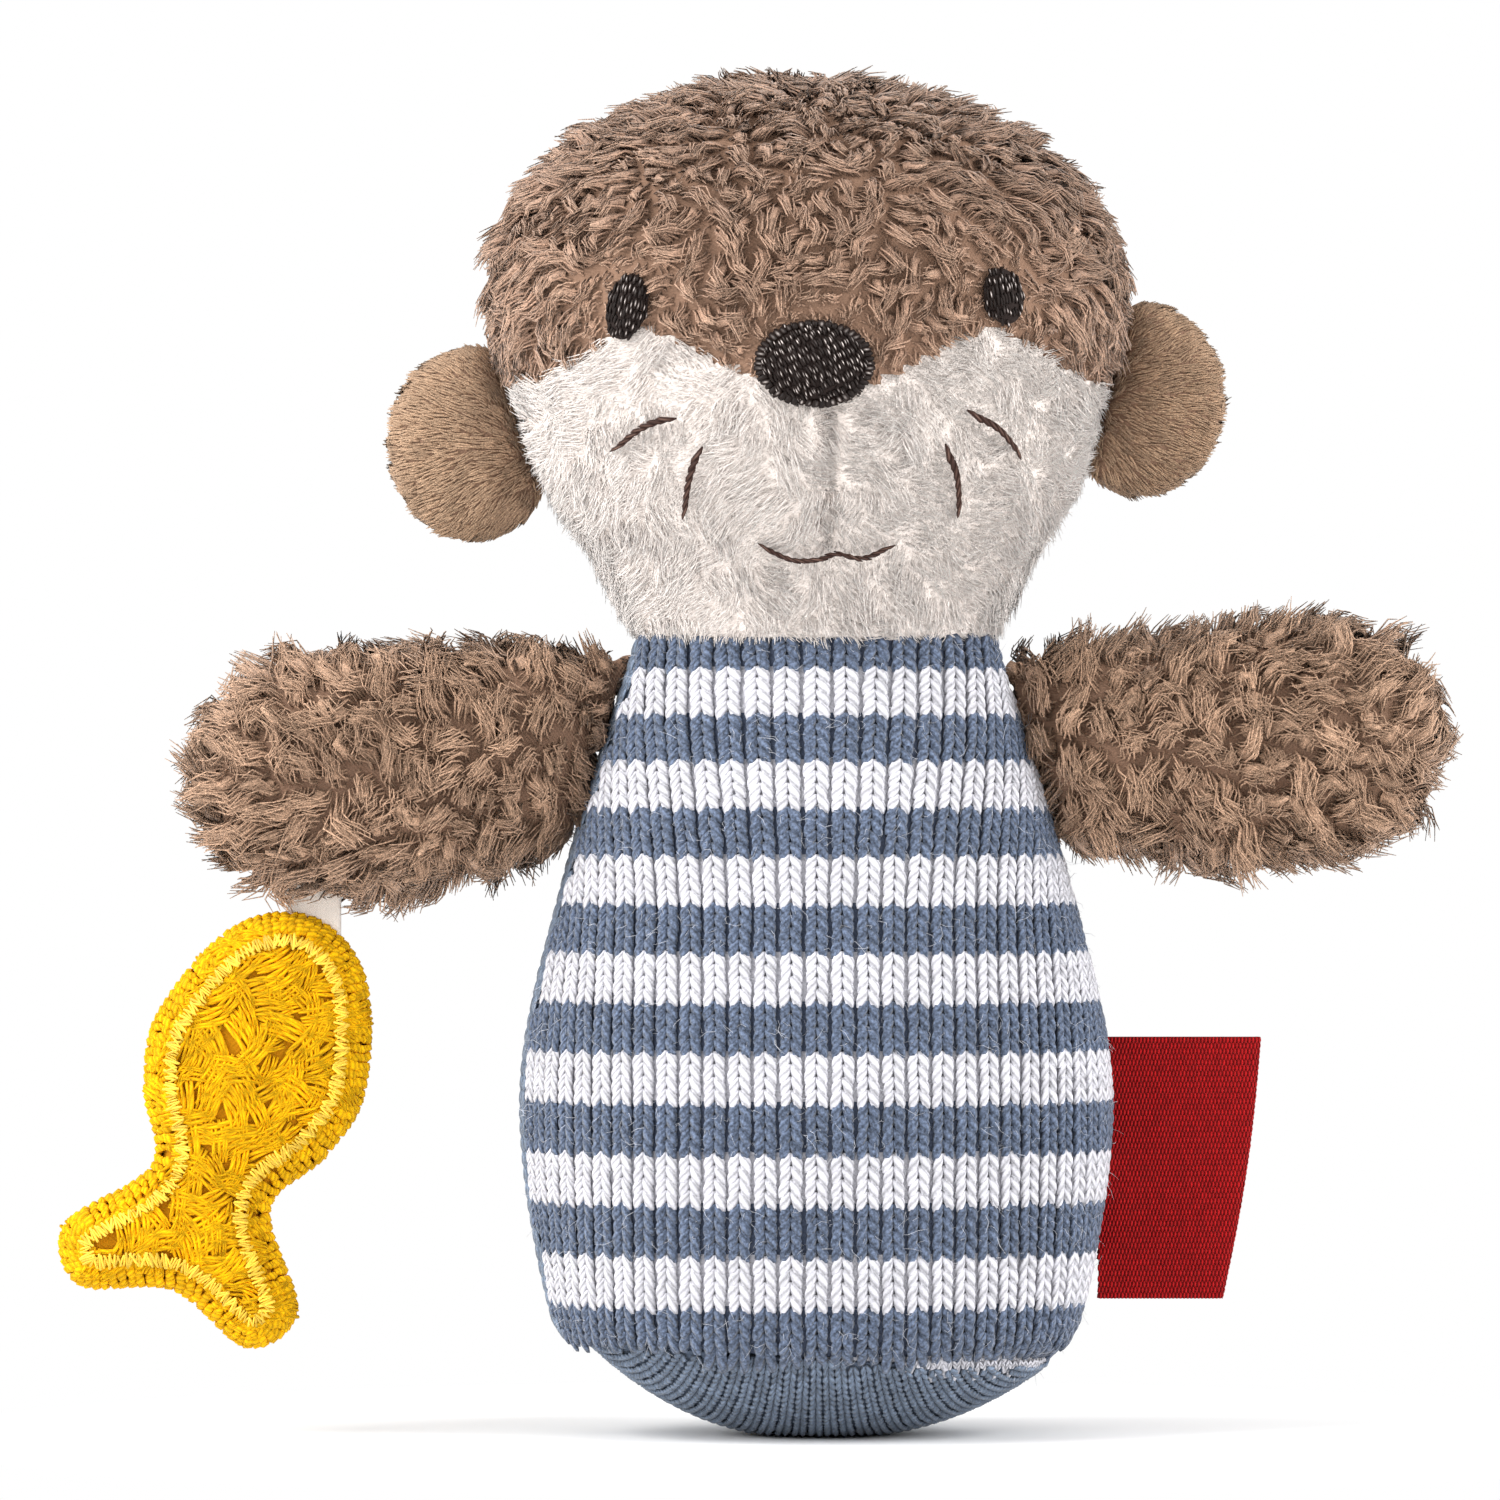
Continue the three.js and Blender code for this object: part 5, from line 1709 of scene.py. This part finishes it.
        def point(u: Array, v: Array) -> Array:
            """Point for a row of stitches and a place along it."""
            x, z = turned(u * gap, v * reach, turn, centre)
            side, tall = turned(x - centre[0], z - centre[1], -lean)
            far = np.minimum((side / half[0]) ** 2 + (tall / half[1]) ** 2, 1.3)
            return self.surface.drape(x, z, lift=lift * (1.0 - 0.65 * far))

        ring, angle = grid(np.linspace(0.02, 1.0, 9), np.linspace(0.0, math.tau, 40, endpoint=False))
        a, b = turned(half[0] * ring * np.cos(angle), half[1] * ring * np.sin(angle), lean)
        across, upward = turned(a, b, -turn)
        return sheet_mesh(name, point, (across / gap)[::-1], (upward / reach)[::-1], wrap=True, unit=unit)

    def _pad(self, node: str, sheet: Mesh, thickness: float, depth: float, uneven: float, seed: int) -> None:
        """Makes a pad in place of a CAD node, filled with short dark stitches of a depth and an unevenness."""
        self.shop.panel(f"{node}_pad", sheet, thickness, DARK_CLOTH, *self.STITCHED, [node], 0.8)
        self.shop.stitches(
            f"{node}_fill", sheet, Stitch.THREAD, DARK_THREAD, *self.STITCHED, depth=depth, row_shift=0.5,
            place_jitter=0.28, size_jitter=uneven, turn_jitter=0.1, seed=seed,
        )

    def _nose(self) -> None:
        """Makes the nose: a pad of slanted stitches, edged with stitches that point to its middle."""
        unit = (0.25 * MM, 0.9 * MM)
        sheet = self._patch("nose_sheet", self.nose_centre, self.nose_half, 0.0, -self.nose_lean, unit, 2.3 * MM)
        self._pad("nose", sheet, 1.2 * MM, 0.3 * MM, 0.15, 11)
        count = self.nose_edge_stitches

        def point(u: Array, v: Array) -> Array:
            """Point for an edge stitch and a place along it."""
            turn, reach = -math.tau * u / count, 0.94 + 0.2 * v
            x = self.nose_centre[0] + self.nose_half[0] * reach * np.cos(turn)
            z = self.nose_centre[1] + self.nose_half[1] * reach * np.sin(turn)
            return self.surface.drape(x, z, lift=1.0 * MM)

        v, u = grid((-0.5, 0.0, 0.5), np.linspace(0.0, count, count + 1))
        self.shop.stitches(
            "nose_rim", sheet_mesh("nose_rim_sheet", point, u, v), Stitch.THREAD, DARK_EDGE, *self.STITCHED,
            depth=0.45 * MM, rows=1, turn_jitter=0.2, size_jitter=0.15, centre=(count / 2, 0.0, 0.0), seed=12,
        )

    def _thread(self, node: str, path: Sequence[Pair], shares: Pair) -> None:
        """Makes one long stitch of twisted thread.

        Args:
            node: CAD node that it stands for.
            path: Points it passes, X and Z in mm.
            shares: Its widths at both ends, as shares of the thread's.
        """
        knots = open_knots(np.array(path) * MM)
        line = Line(np.vstack([spline(knots, np.linspace(0.0, 1.0, 8, endpoint=False)), knots[-2:-1]]))
        pace, step = 1.05 * self.thread_width, 0.2 * MM

        def point(u: Array, v: Array) -> Array:
            """Point for a place along the thread and one across it."""
            at = v * pace
            ahead = line.way(at - step, at + step)
            share = np.clip(at / line.length, 0.0, 1.0)
            width = self.thread_width * (shares[0] + (shares[1] - shares[0]) * share)
            spots = self.surface.drape(*line.at(at))
            spots[..., 0] += u * width * ahead[..., 1]
            spots[..., 2] -= u * width * ahead[..., 0]
            spots[..., 1] -= self.face_lift * (0.35 + 0.65 * np.sin(math.pi * share) ** 0.5)
            return spots

        count = line.length / pace
        v, u = grid(np.linspace(0.9, count - 0.9, max(8, int(count))), (-0.5, 0.0, 0.5))
        self.shop.stitches(
            f"{node}_thread", sheet_mesh(f"{node}_sheet", point, u, v), Stitch.PLY, BROWN_THREAD, *self.STITCHED,
            [node], depth=0.75 * MM, columns=1, centre=(0.0, round(count / 2), 0.0),
        )


@dataclass
class Limb(Assembly):
    """A stuffed piece that is sewn on at its root."""

    side: Side
    root: Vector
    sewn: float = 2.5 * MM
    puff: float = 1.0 * MM

    def names(self, word: str, *parts: str) -> tuple[str, list[str]]:
        """The limb's CAD body, and the nodes of its parts."""
        body = f"{word}_{self.side.word}"
        return body, [f"{body}_{part}" for part in parts]

    def out(self, point: Vector) -> float:
        """How far a point is outward from the root."""
        return self.side.value * (point.x - self.root.x)

    def cushion(self, soft: Mesh, held: Callable[[Vector], bool], body: str, *joint: Any) -> Mesh:
        """Puffs the limb up and adds it under its pile.

        Args:
            soft: The limb's form.
            held: Tells which points are sewn down, besides those near the root.
            body: CAD body it rides on.
            joint: The rest that piece() takes.

        Returns:
            The puffed form.
        """
        sewn = [point.index for point in soft.vertices if held(point.co) or self.out(point.co) < self.sewn]
        soft = dress(self.shop.inflate(soft, sewn, self.puff), BROWN_CLOTH)
        self.shop.piece(add_object(f"{body}_cushion", soft.copy()), body, *joint)
        return soft


@dataclass
class Ear(Limb):
    """A velour ear."""

    seam: float = 0.25 * MM

    PELT = Pile(1.3e7, 1.3 * MM, 0.11 * MM, 1.1 * MM, 0.2, 0.1, 0.35, 120.0, 0.0, 0.0, 0.1, 3, 0.2, bulge=0.3)

    def build(self) -> None:
        """Makes the ear's pieces."""
        body, nodes = self.names("ear", "front", "back")
        soft = keep_largest(softened(f"{body}_soft", nodes, 0.8 * MM, 5))
        front, back = (Surface(cad_mesh("lookup", [node])) for node in nodes)

        def on_seam(point: Vector) -> bool:
            """Whether a point lies between the two panels."""
            return abs(front.distance(point) - back.distance(point)) < self.seam

        soft = self.cushion(soft, on_seam, body, "velour_brown", nodes, 0.7)
        self.shop.pelt(f"{body}_pile", soft, self.PELT, VELOUR, body, "velour_brown", source=self.root, seed=21)


@dataclass
class Arm(Limb):
    """A plush arm."""

    sewn: float = 9.0 * MM
    tuck: float = 2.2 * MM
    tuck_reach: float = 18.0 * MM

    TUFTS = Pile(
        0.0, 4.0 * MM, 0.75 * MM, 1.9 * MM, 0.42, 0.0, 1.8, 170.0, 0.9 * MM, 0.8, 0.06, 4, 0.4, 0.0, 5, True, 0.3
    )
    FIBRES = Pile(
        4.4e6, 4.7 * MM, 0.12 * MM, 1.9 * MM, 0.52, 0.3, 1.8, 170.0, 0.95 * MM, 0.8, 0.12, 4, 0.4, 0.35 * MM, bulge=0.3
    )

    def build(self) -> None:
        """Makes the arm's pieces."""
        body, nodes = self.names("arm", "cover", "stuffing")
        soft = keep_largest(softened(f"{body}_soft", nodes, 1.2 * MM, 3))
        self._tuck(soft)
        soft = self.cushion(soft, lambda point: False, body, "plush_brown", nodes, 0.85)
        chest = add_object("chest_clear", cad_mesh("chest_clear", Head.CHEST))
        for pile, word in ((self.TUFTS, "tufts"), (self.FIBRES, "fuzz")):
            self.shop.pelt(
                f"{body}_{word}", soft, pile, ARM_PILE, body, "plush_brown", source=self.root, seed=23,
                lean=(0.0, 0.0, 0.1), clear=chest, trim=(-0.5 * MM, 1.4 * MM),
            )
        bpy.data.objects.remove(chest)

    def _tuck(self, soft: Mesh) -> None:
        """Draws the arm's root in against the body's side.

        Args:
            soft: The arm, changed in place.
        """
        for vertex in soft.vertices:
            share = min(max(1.0 - self.out(vertex.co) / self.tuck_reach, 0.0), 1.0)
            vertex.co.x -= self.side.value * self.tuck * share


@dataclass
class FishCharm(Assembly):
    """The knitted fish on its satin ribbon. Stations are half widths and distances down from its top, in mm."""

    hang: Pair = (-47.02 * MM, 46.72 * MM)
    tilt: float = math.radians(20.5)
    top: float = 1.6 * MM
    aside: float = -0.8 * MM
    stations: Sequence[Pair] = ((6.6, 3.6), (10.3, 13.5), (9.0, 20.5), (5.8, 27.0), (11.5, 35.0), (8.4, 39.8))
    notch: float = 37.2 * MM
    inset: float = 2.5 * MM
    band: float = 1.3 * MM
    thread: float = 0.23 * MM
    thread_lift: float = 1.0 * MM
    yarn: float = 1.6 * MM
    wrap: Pair = (0.85 * MM, 0.85 * MM)
    rim: float = 2.0 * MM
    skin: float = 0.5 * MM
    edge: float = 4.5 * MM
    edge_depth: float = 2.3 * MM
    crown: float = 0.8 * MM
    grid: float = 0.8 * MM

    NODES = ["fish_front", "fish_back", "fish_wadding"]
    KNIT = ("fish", "fish_knit")

    def build(self) -> None:
        """Makes the charm's pieces."""
        right = [(half * MM, down * MM) for half, down in self.stations]
        left = [(-half, down) for half, down in reversed(right)]
        places = [(0.0, 0.0), *right, (0.0, self.notch), *left]
        knots = [turned(self.aside + across, self.top - down, self.tilt, self.hang) for across, down in places]
        self.line = smooth_loop(knots, 240)
        ahead = np.roll(self.line, -1, axis=0) - np.roll(self.line, 1, axis=0)
        ahead /= np.linalg.norm(ahead, axis=1, keepdims=True)
        self.out = np.stack([-ahead[:, 1], ahead[:, 0]], axis=-1)
        pillow = self._pillow()
        self.surface = Surface(pillow)
        self.shop.piece(add_object("fish_cushion", pillow), *self.KNIT, self.NODES, 0.8)
        for way, word in ((1, "front"), (-1, "back")):
            self._yarns(way, word)
        self._rim()
        self._outline_stitch()
        satin = dress(softened("ribbon_satin", ["ribbon"], 0.2 * MM, 2), SATIN)
        self.shop.piece(add_object("ribbon_satin", satin), "ribbon", "satin_ribbon", ["ribbon"])

    def _depth(self, inside: Array) -> Array:
        """Half thickness of the pillow at a distance inside its edge."""
        near = 1.0 - np.clip(inside / self.edge, 0.0, 1.0)
        return self.edge_depth * np.sqrt(1.0 - near**2) + self.crown * np.clip(inside / (2 * self.edge), 0.0, 1.0)

    def _pillow(self) -> Mesh:
        """Makes the stuffed fish under its yarn, crowned and drawn in at its edge.

        Returns:
            A closed mesh.
        """
        ring = self.line - self.out * self.skin

        def inside(spots: Array) -> Array:
            """Distance of places from the edge."""
            return np.linalg.norm(spots[:, None, :] - ring[None, :, :], axis=-1).min(axis=1)

        low, high = ring.min(axis=0), ring.max(axis=0)
        z, x = grid(np.arange(low[1], high[1], self.grid), np.arange(low[0], high[0], self.grid))
        spots = np.stack([x.ravel(), z.ravel()], axis=-1)
        points = [Vector(spot) for spot in np.vstack([ring, spots[inside(spots) > 0.6 * self.grid]])]
        edges = [(index, (index + 1) % len(ring)) for index in range(len(ring))]
        flat, _, faces, *_ = delaunay_2d_cdt(points, edges, [], 1, 1.0e-7)
        places = np.array([tuple(point) for point in flat])
        gaps = inside(places)
        depth = self._depth(np.where(gaps < 0.05 * MM, 0.0, gaps))
        work = bmesh.new()
        for way in (-1, 1):
            corners = [work.verts.new((a, way * d, b)) for (a, b), d in zip(places, depth)]
            for face in faces:
                work.faces.new([corners[index] for index in face][::-way])
        bmesh.ops.remove_doubles(work, verts=work.verts, dist=0.01 * MM)
        bmesh.ops.delete(work, geom=[vertex for vertex in work.verts if not vertex.link_faces], context="VERTS")
        bmesh.ops.recalc_face_normals(work, faces=work.faces)
        # the darker backing paints shade where it shows between the yarn bundles
        mesh = dress(finished(work, bpy.data.meshes.new("fish_cushion")), FISH_SHADE_CLOTH)
        mesh.shade_smooth()
        return mesh

    def _yarns(self, way: int, word: str) -> None:
        """Covers one face inside the rim with short bundles of yarn in crossing directions.

        Args:
            way: 1 for the front face and -1 for the back.
            word: The face's name.
        """
        middle = self.line.mean(axis=0)

        def point(u: Array, v: Array) -> Array:
            """Point for a column and a row of yarn bundles."""
            return self.surface.drape(*turned(u * self.yarn * way, v * self.yarn, self.tilt, middle), way)

        def on_face(spot: Vector) -> bool:
            """Whether a place is on the fish, inside its rim."""
            edge = np.hypot(self.line[:, 0] - spot.x, self.line[:, 1] - spot.z).min()
            return edge >= self.rim and self.surface.hit(spot.x, spot.z, way) is not None

        reach = np.linspace(-15.0, 15.0, 49)
        v, u = grid(reach, reach)
        sheet = sheet_mesh(f"fish_{word}_sheet", point, u, v, unit=(self.yarn, self.yarn))
        self.shop.stitches(
            f"fish_{word}_yarn", cut_out(sheet, sheet, on_face), Stitch.BUNDLE, FISH_YARN, *self.KNIT,
            depth=0.8 * MM, row_shift=0.5, turn=math.radians(40.0), turn_jitter=math.radians(95.0),
            place_jitter=0.6, size_jitter=0.3, seed=31,
        )

    def _rim(self) -> None:
        """Wraps the fish's edge in yarn."""
        shares = np.linspace(0.0, 1.0, len(self.line) + 1)
        line, out = (np.vstack([points, points[:1]]) for points in (self.line, self.out))
        count = round(Line(line).length / self.wrap[0])

        def point(u: Array, v: Array) -> Array:
            """Point for a yarn's number along the edge and a place from front to back."""
            share, turn = np.mod(u / count, 1.0), -0.27 * v
            x, z, a, b = (np.interp(share, shares, part) for part in (*line.T, *out.T))
            inside = self.skin + self.edge * (1.0 - np.cos(turn))
            return np.stack([x - a * inside, -self.edge_depth * np.sin(turn), z - b * inside], axis=-1)

        v, u = grid(np.linspace(-3.9, 3.9, 9), np.linspace(0.0, count, 241))
        self.shop.stitches(
            "fish_rim_yarn", sheet_mesh("fish_rim_sheet", point, u, v, unit=self.wrap), Stitch.WRAP, FISH_YARN,
            *self.KNIT, depth=0.85 * MM, turn_jitter=0.45, size_jitter=0.25, place_jitter=0.18, seed=35,
        )

    def _outline_stitch(self) -> None:
        """Makes the shiny zigzag line inside the fish's edge."""
        inner = self.line - self.out * self.inset
        line = Line(np.vstack([inner, inner[:1]]))
        count = int(line.length / self.thread)

        def point(u: Array, v: Array) -> Array:
            """Point for a thread's number and a place along the thread."""
            at = np.mod(u * line.length / count, line.length)
            way = line.way(np.mod(at - MM, line.length), np.mod(at + MM, line.length))
            x, z = line.at(at)
            x, z = x - v * self.band * way[..., 1], z + v * self.band * way[..., 0]
            return self.surface.drape(x, z, lift=self.thread_lift)

        v, u = grid((0.5, 0.0, -0.5), np.linspace(0.0, count, count + 1))
        self.shop.stitches(
            "fish_outline_thread", sheet_mesh("fish_outline_sheet", point, u, v, unit=(self.thread, self.band)),
            Stitch.THREAD, FISH_THREAD, "fish", "fish_thread", ["fish_outline_stitch"], depth=0.4 * MM, rows=1,
            turn_jitter=0.6, size_jitter=0.3, centre=(float(round(count / 2)), 0.0, 0.0), seed=33,
        )


@dataclass
class SideTag(Assembly):
    """A bare woven tag: one strip folded in two and caught in the side seam."""

    bottom: float = 12.8 * MM
    height: float = 24.5 * MM
    start: float = 26.6 * MM
    reach_top: float = 15.2 * MM
    reach_bottom: float = 11.6 * MM
    bow: float = 0.5 * MM
    fold: float = 0.6 * MM
    ply: float = 0.3 * MM
    weft: float = 0.34 * MM
    warp: float = 0.52 * MM
    rows: int = 30
    columns: int = 60

    RED = ("tag", "tag_red")

    def reach(self, share: Array) -> Array:
        """How far the flat part of a ply goes out from the seam, at a share of the height."""
        bow = self.bow * np.sin(math.pi * share)
        return self.reach_bottom + (self.reach_top - self.reach_bottom) * share + bow - self.fold

    def point(self, u: Array, v: Array) -> Array:
        """Gives a point of the strip.

        Args:
            u: Place along the strip, from the front seam edge round the fold, in weft threads.
            v: Place up the strip in warp threads.

        Returns:
            The points.
        """
        reach = self.reach(np.clip(v * self.warp / self.height, 0.0, 1.0))
        half = reach + self.fold * math.pi / 2
        at = u * self.weft
        turn = np.clip((at - reach) / self.fold, 0.0, math.pi)
        x = np.where(at < reach, at, np.where(at > 2 * half - reach, 2 * half - at, reach + self.fold * np.sin(turn)))
        return np.stack([self.start + x, -self.fold * np.cos(turn), self.bottom + v * self.warp], axis=-1)

    def build(self) -> None:
        """Makes the tag's pieces."""
        v, across = grid(np.linspace(0.0, self.height / self.warp, self.rows), np.linspace(0.0, 1.0, self.columns))
        whole = 2 * (self.reach(np.linspace(0.0, 1.0, self.rows)[:, None]) + self.fold * math.pi / 2)
        sheet = sheet_mesh("tag_sheet", self.point, across * whole / self.weft, v)
        tag = self.shop.panel("side_tag", sheet, self.ply, TAG_CLOTH, *self.RED, ["woven_tag"])
        weave = self.shop.stitches(
            "side_tag_weave", sheet, Stitch.FLOAT, TAG_YARN, *self.RED, depth=0.13 * MM, row_shift=0.5, seed=41
        )


@dataclass
class Studio:
    """The floor, lamps and camera."""

    distance: float = 1.0
    frame_width: float = 140.7 * MM
    aim: Vector = field(default_factory=lambda: Vector((-6.1, 0.0, 64.2)) * MM)
    sensor: float = 36.0
    floor: float = 3.0
    shadow_reach: float = 0.035
    shadow_fade: float = 0.05
    lamps: Sequence[tuple[str, tuple[float, float, float], float, float]] = (
        ("key", (-0.9, -0.4, 0.7), 0.9, 17.0), ("side", (0.9, -0.4, 0.6), 0.8, 10.5)
    )

    WHITE = (1.0, 1.0, 1.0, 1.0)
    PALE = (0.93, 0.93, 0.93, 1.0)

    def build(self) -> None:
        """Makes the set."""
        self._camera()
        self._floor()
        self._lamps()
        self._world()
        bpy.context.scene.view_settings.view_transform = "Standard"

    def _camera(self) -> None:
        """Adds a level camera in front of the toy."""
        lens = bpy.data.cameras.new("camera")
        lens.sensor_width = self.sensor
        lens.lens = self.sensor * self.distance / self.frame_width
        lens.clip_start = 0.01
        camera = add_object("camera", lens)
        camera.location = self.aim + Vector((0.0, -self.distance, 0.0))
        camera.rotation_euler = (math.pi / 2, 0.0, 0.0)
        bpy.context.scene.camera = camera

    def _floor(self) -> None:
        """Adds a pale floor that keeps the shadow near the toy and is white farther off."""
        mesh = bpy.data.meshes.new("floor")
        corners = [(x * self.floor, y * self.floor, 0) for x, y in ((-1, -1), (1, -1), (1, 1), (-1, 1))]
        mesh.from_pydata(corners, [], [(0, 1, 2, 3)])
        material = bpy.data.materials.new("floor")
        material.use_nodes = True
        graph = ShaderGraph(material)
        pale = graph.add("ShaderNodeBsdfDiffuse", {"Color": self.PALE})
        white = graph.add("ShaderNodeEmission", {"Color": self.WHITE, "Strength": 1.0})
        fade = ((graph.place().vector("LENGTH", output=1) - self.shadow_reach) / self.shadow_fade).clamped()
        seen = graph.add("ShaderNodeLightPath", {}, "Is Camera Ray")
        both = graph.add("ShaderNodeMixShader", {0: fade * seen, 1: pale, 2: white})
        graph.add("ShaderNodeOutputMaterial", {"Surface": both})
        mesh.materials.append(material)
        add_object("floor", mesh)

    def _lamps(self) -> None:
        """Adds a wide lamp at the upper left and a weaker one at the upper right."""
        for name, place, size, power in self.lamps:
            light = bpy.data.lights.new(name, "AREA")
            light.shape, light.size, light.energy = "SQUARE", size, power
            lamp = add_object(name, light)
            lamp.location = place
            lamp.rotation_euler = (self.aim - Vector(place)).to_track_quat("-Z", "Y").to_euler()

    def _world(self) -> None:
        """Fills the room with even light, and shows white to the camera."""
        world = bpy.data.worlds.new("room")
        world.use_nodes = True
        graph = ShaderGraph(world)
        strength = graph.add("ShaderNodeLightPath", {}, "Is Camera Ray") * 0.2 + 0.8
        light = graph.add("ShaderNodeBackground", {"Color": self.WHITE, "Strength": strength})
        graph.add("ShaderNodeOutputWorld", {"Surface": light})
        bpy.context.scene.world = world


def main() -> None:
    """Builds the toy from the body outward, then the set."""
    logging.basicConfig(level=logging.INFO, format="%(message)s")
    shop = Workshop()
    KnitBody(shop).build()
    Rattle().build()
    Head(shop).build()
    Ear(shop, Side.LEFT, Vector((-24.0, 2.0, 93.0)) * MM).build()
    Ear(shop, Side.RIGHT, Vector((24.0, 2.0, 97.2)) * MM).build()
    Arm(shop, Side.LEFT, Vector((-12.0, 0.0, 67.0)) * MM).build()
    Arm(shop, Side.RIGHT, Vector((12.0, 0.0, 66.0)) * MM).build()
    FishCharm(shop).build()
    SideTag(shop).build()
    Studio().build()


if __name__ == "__main__":
    main()
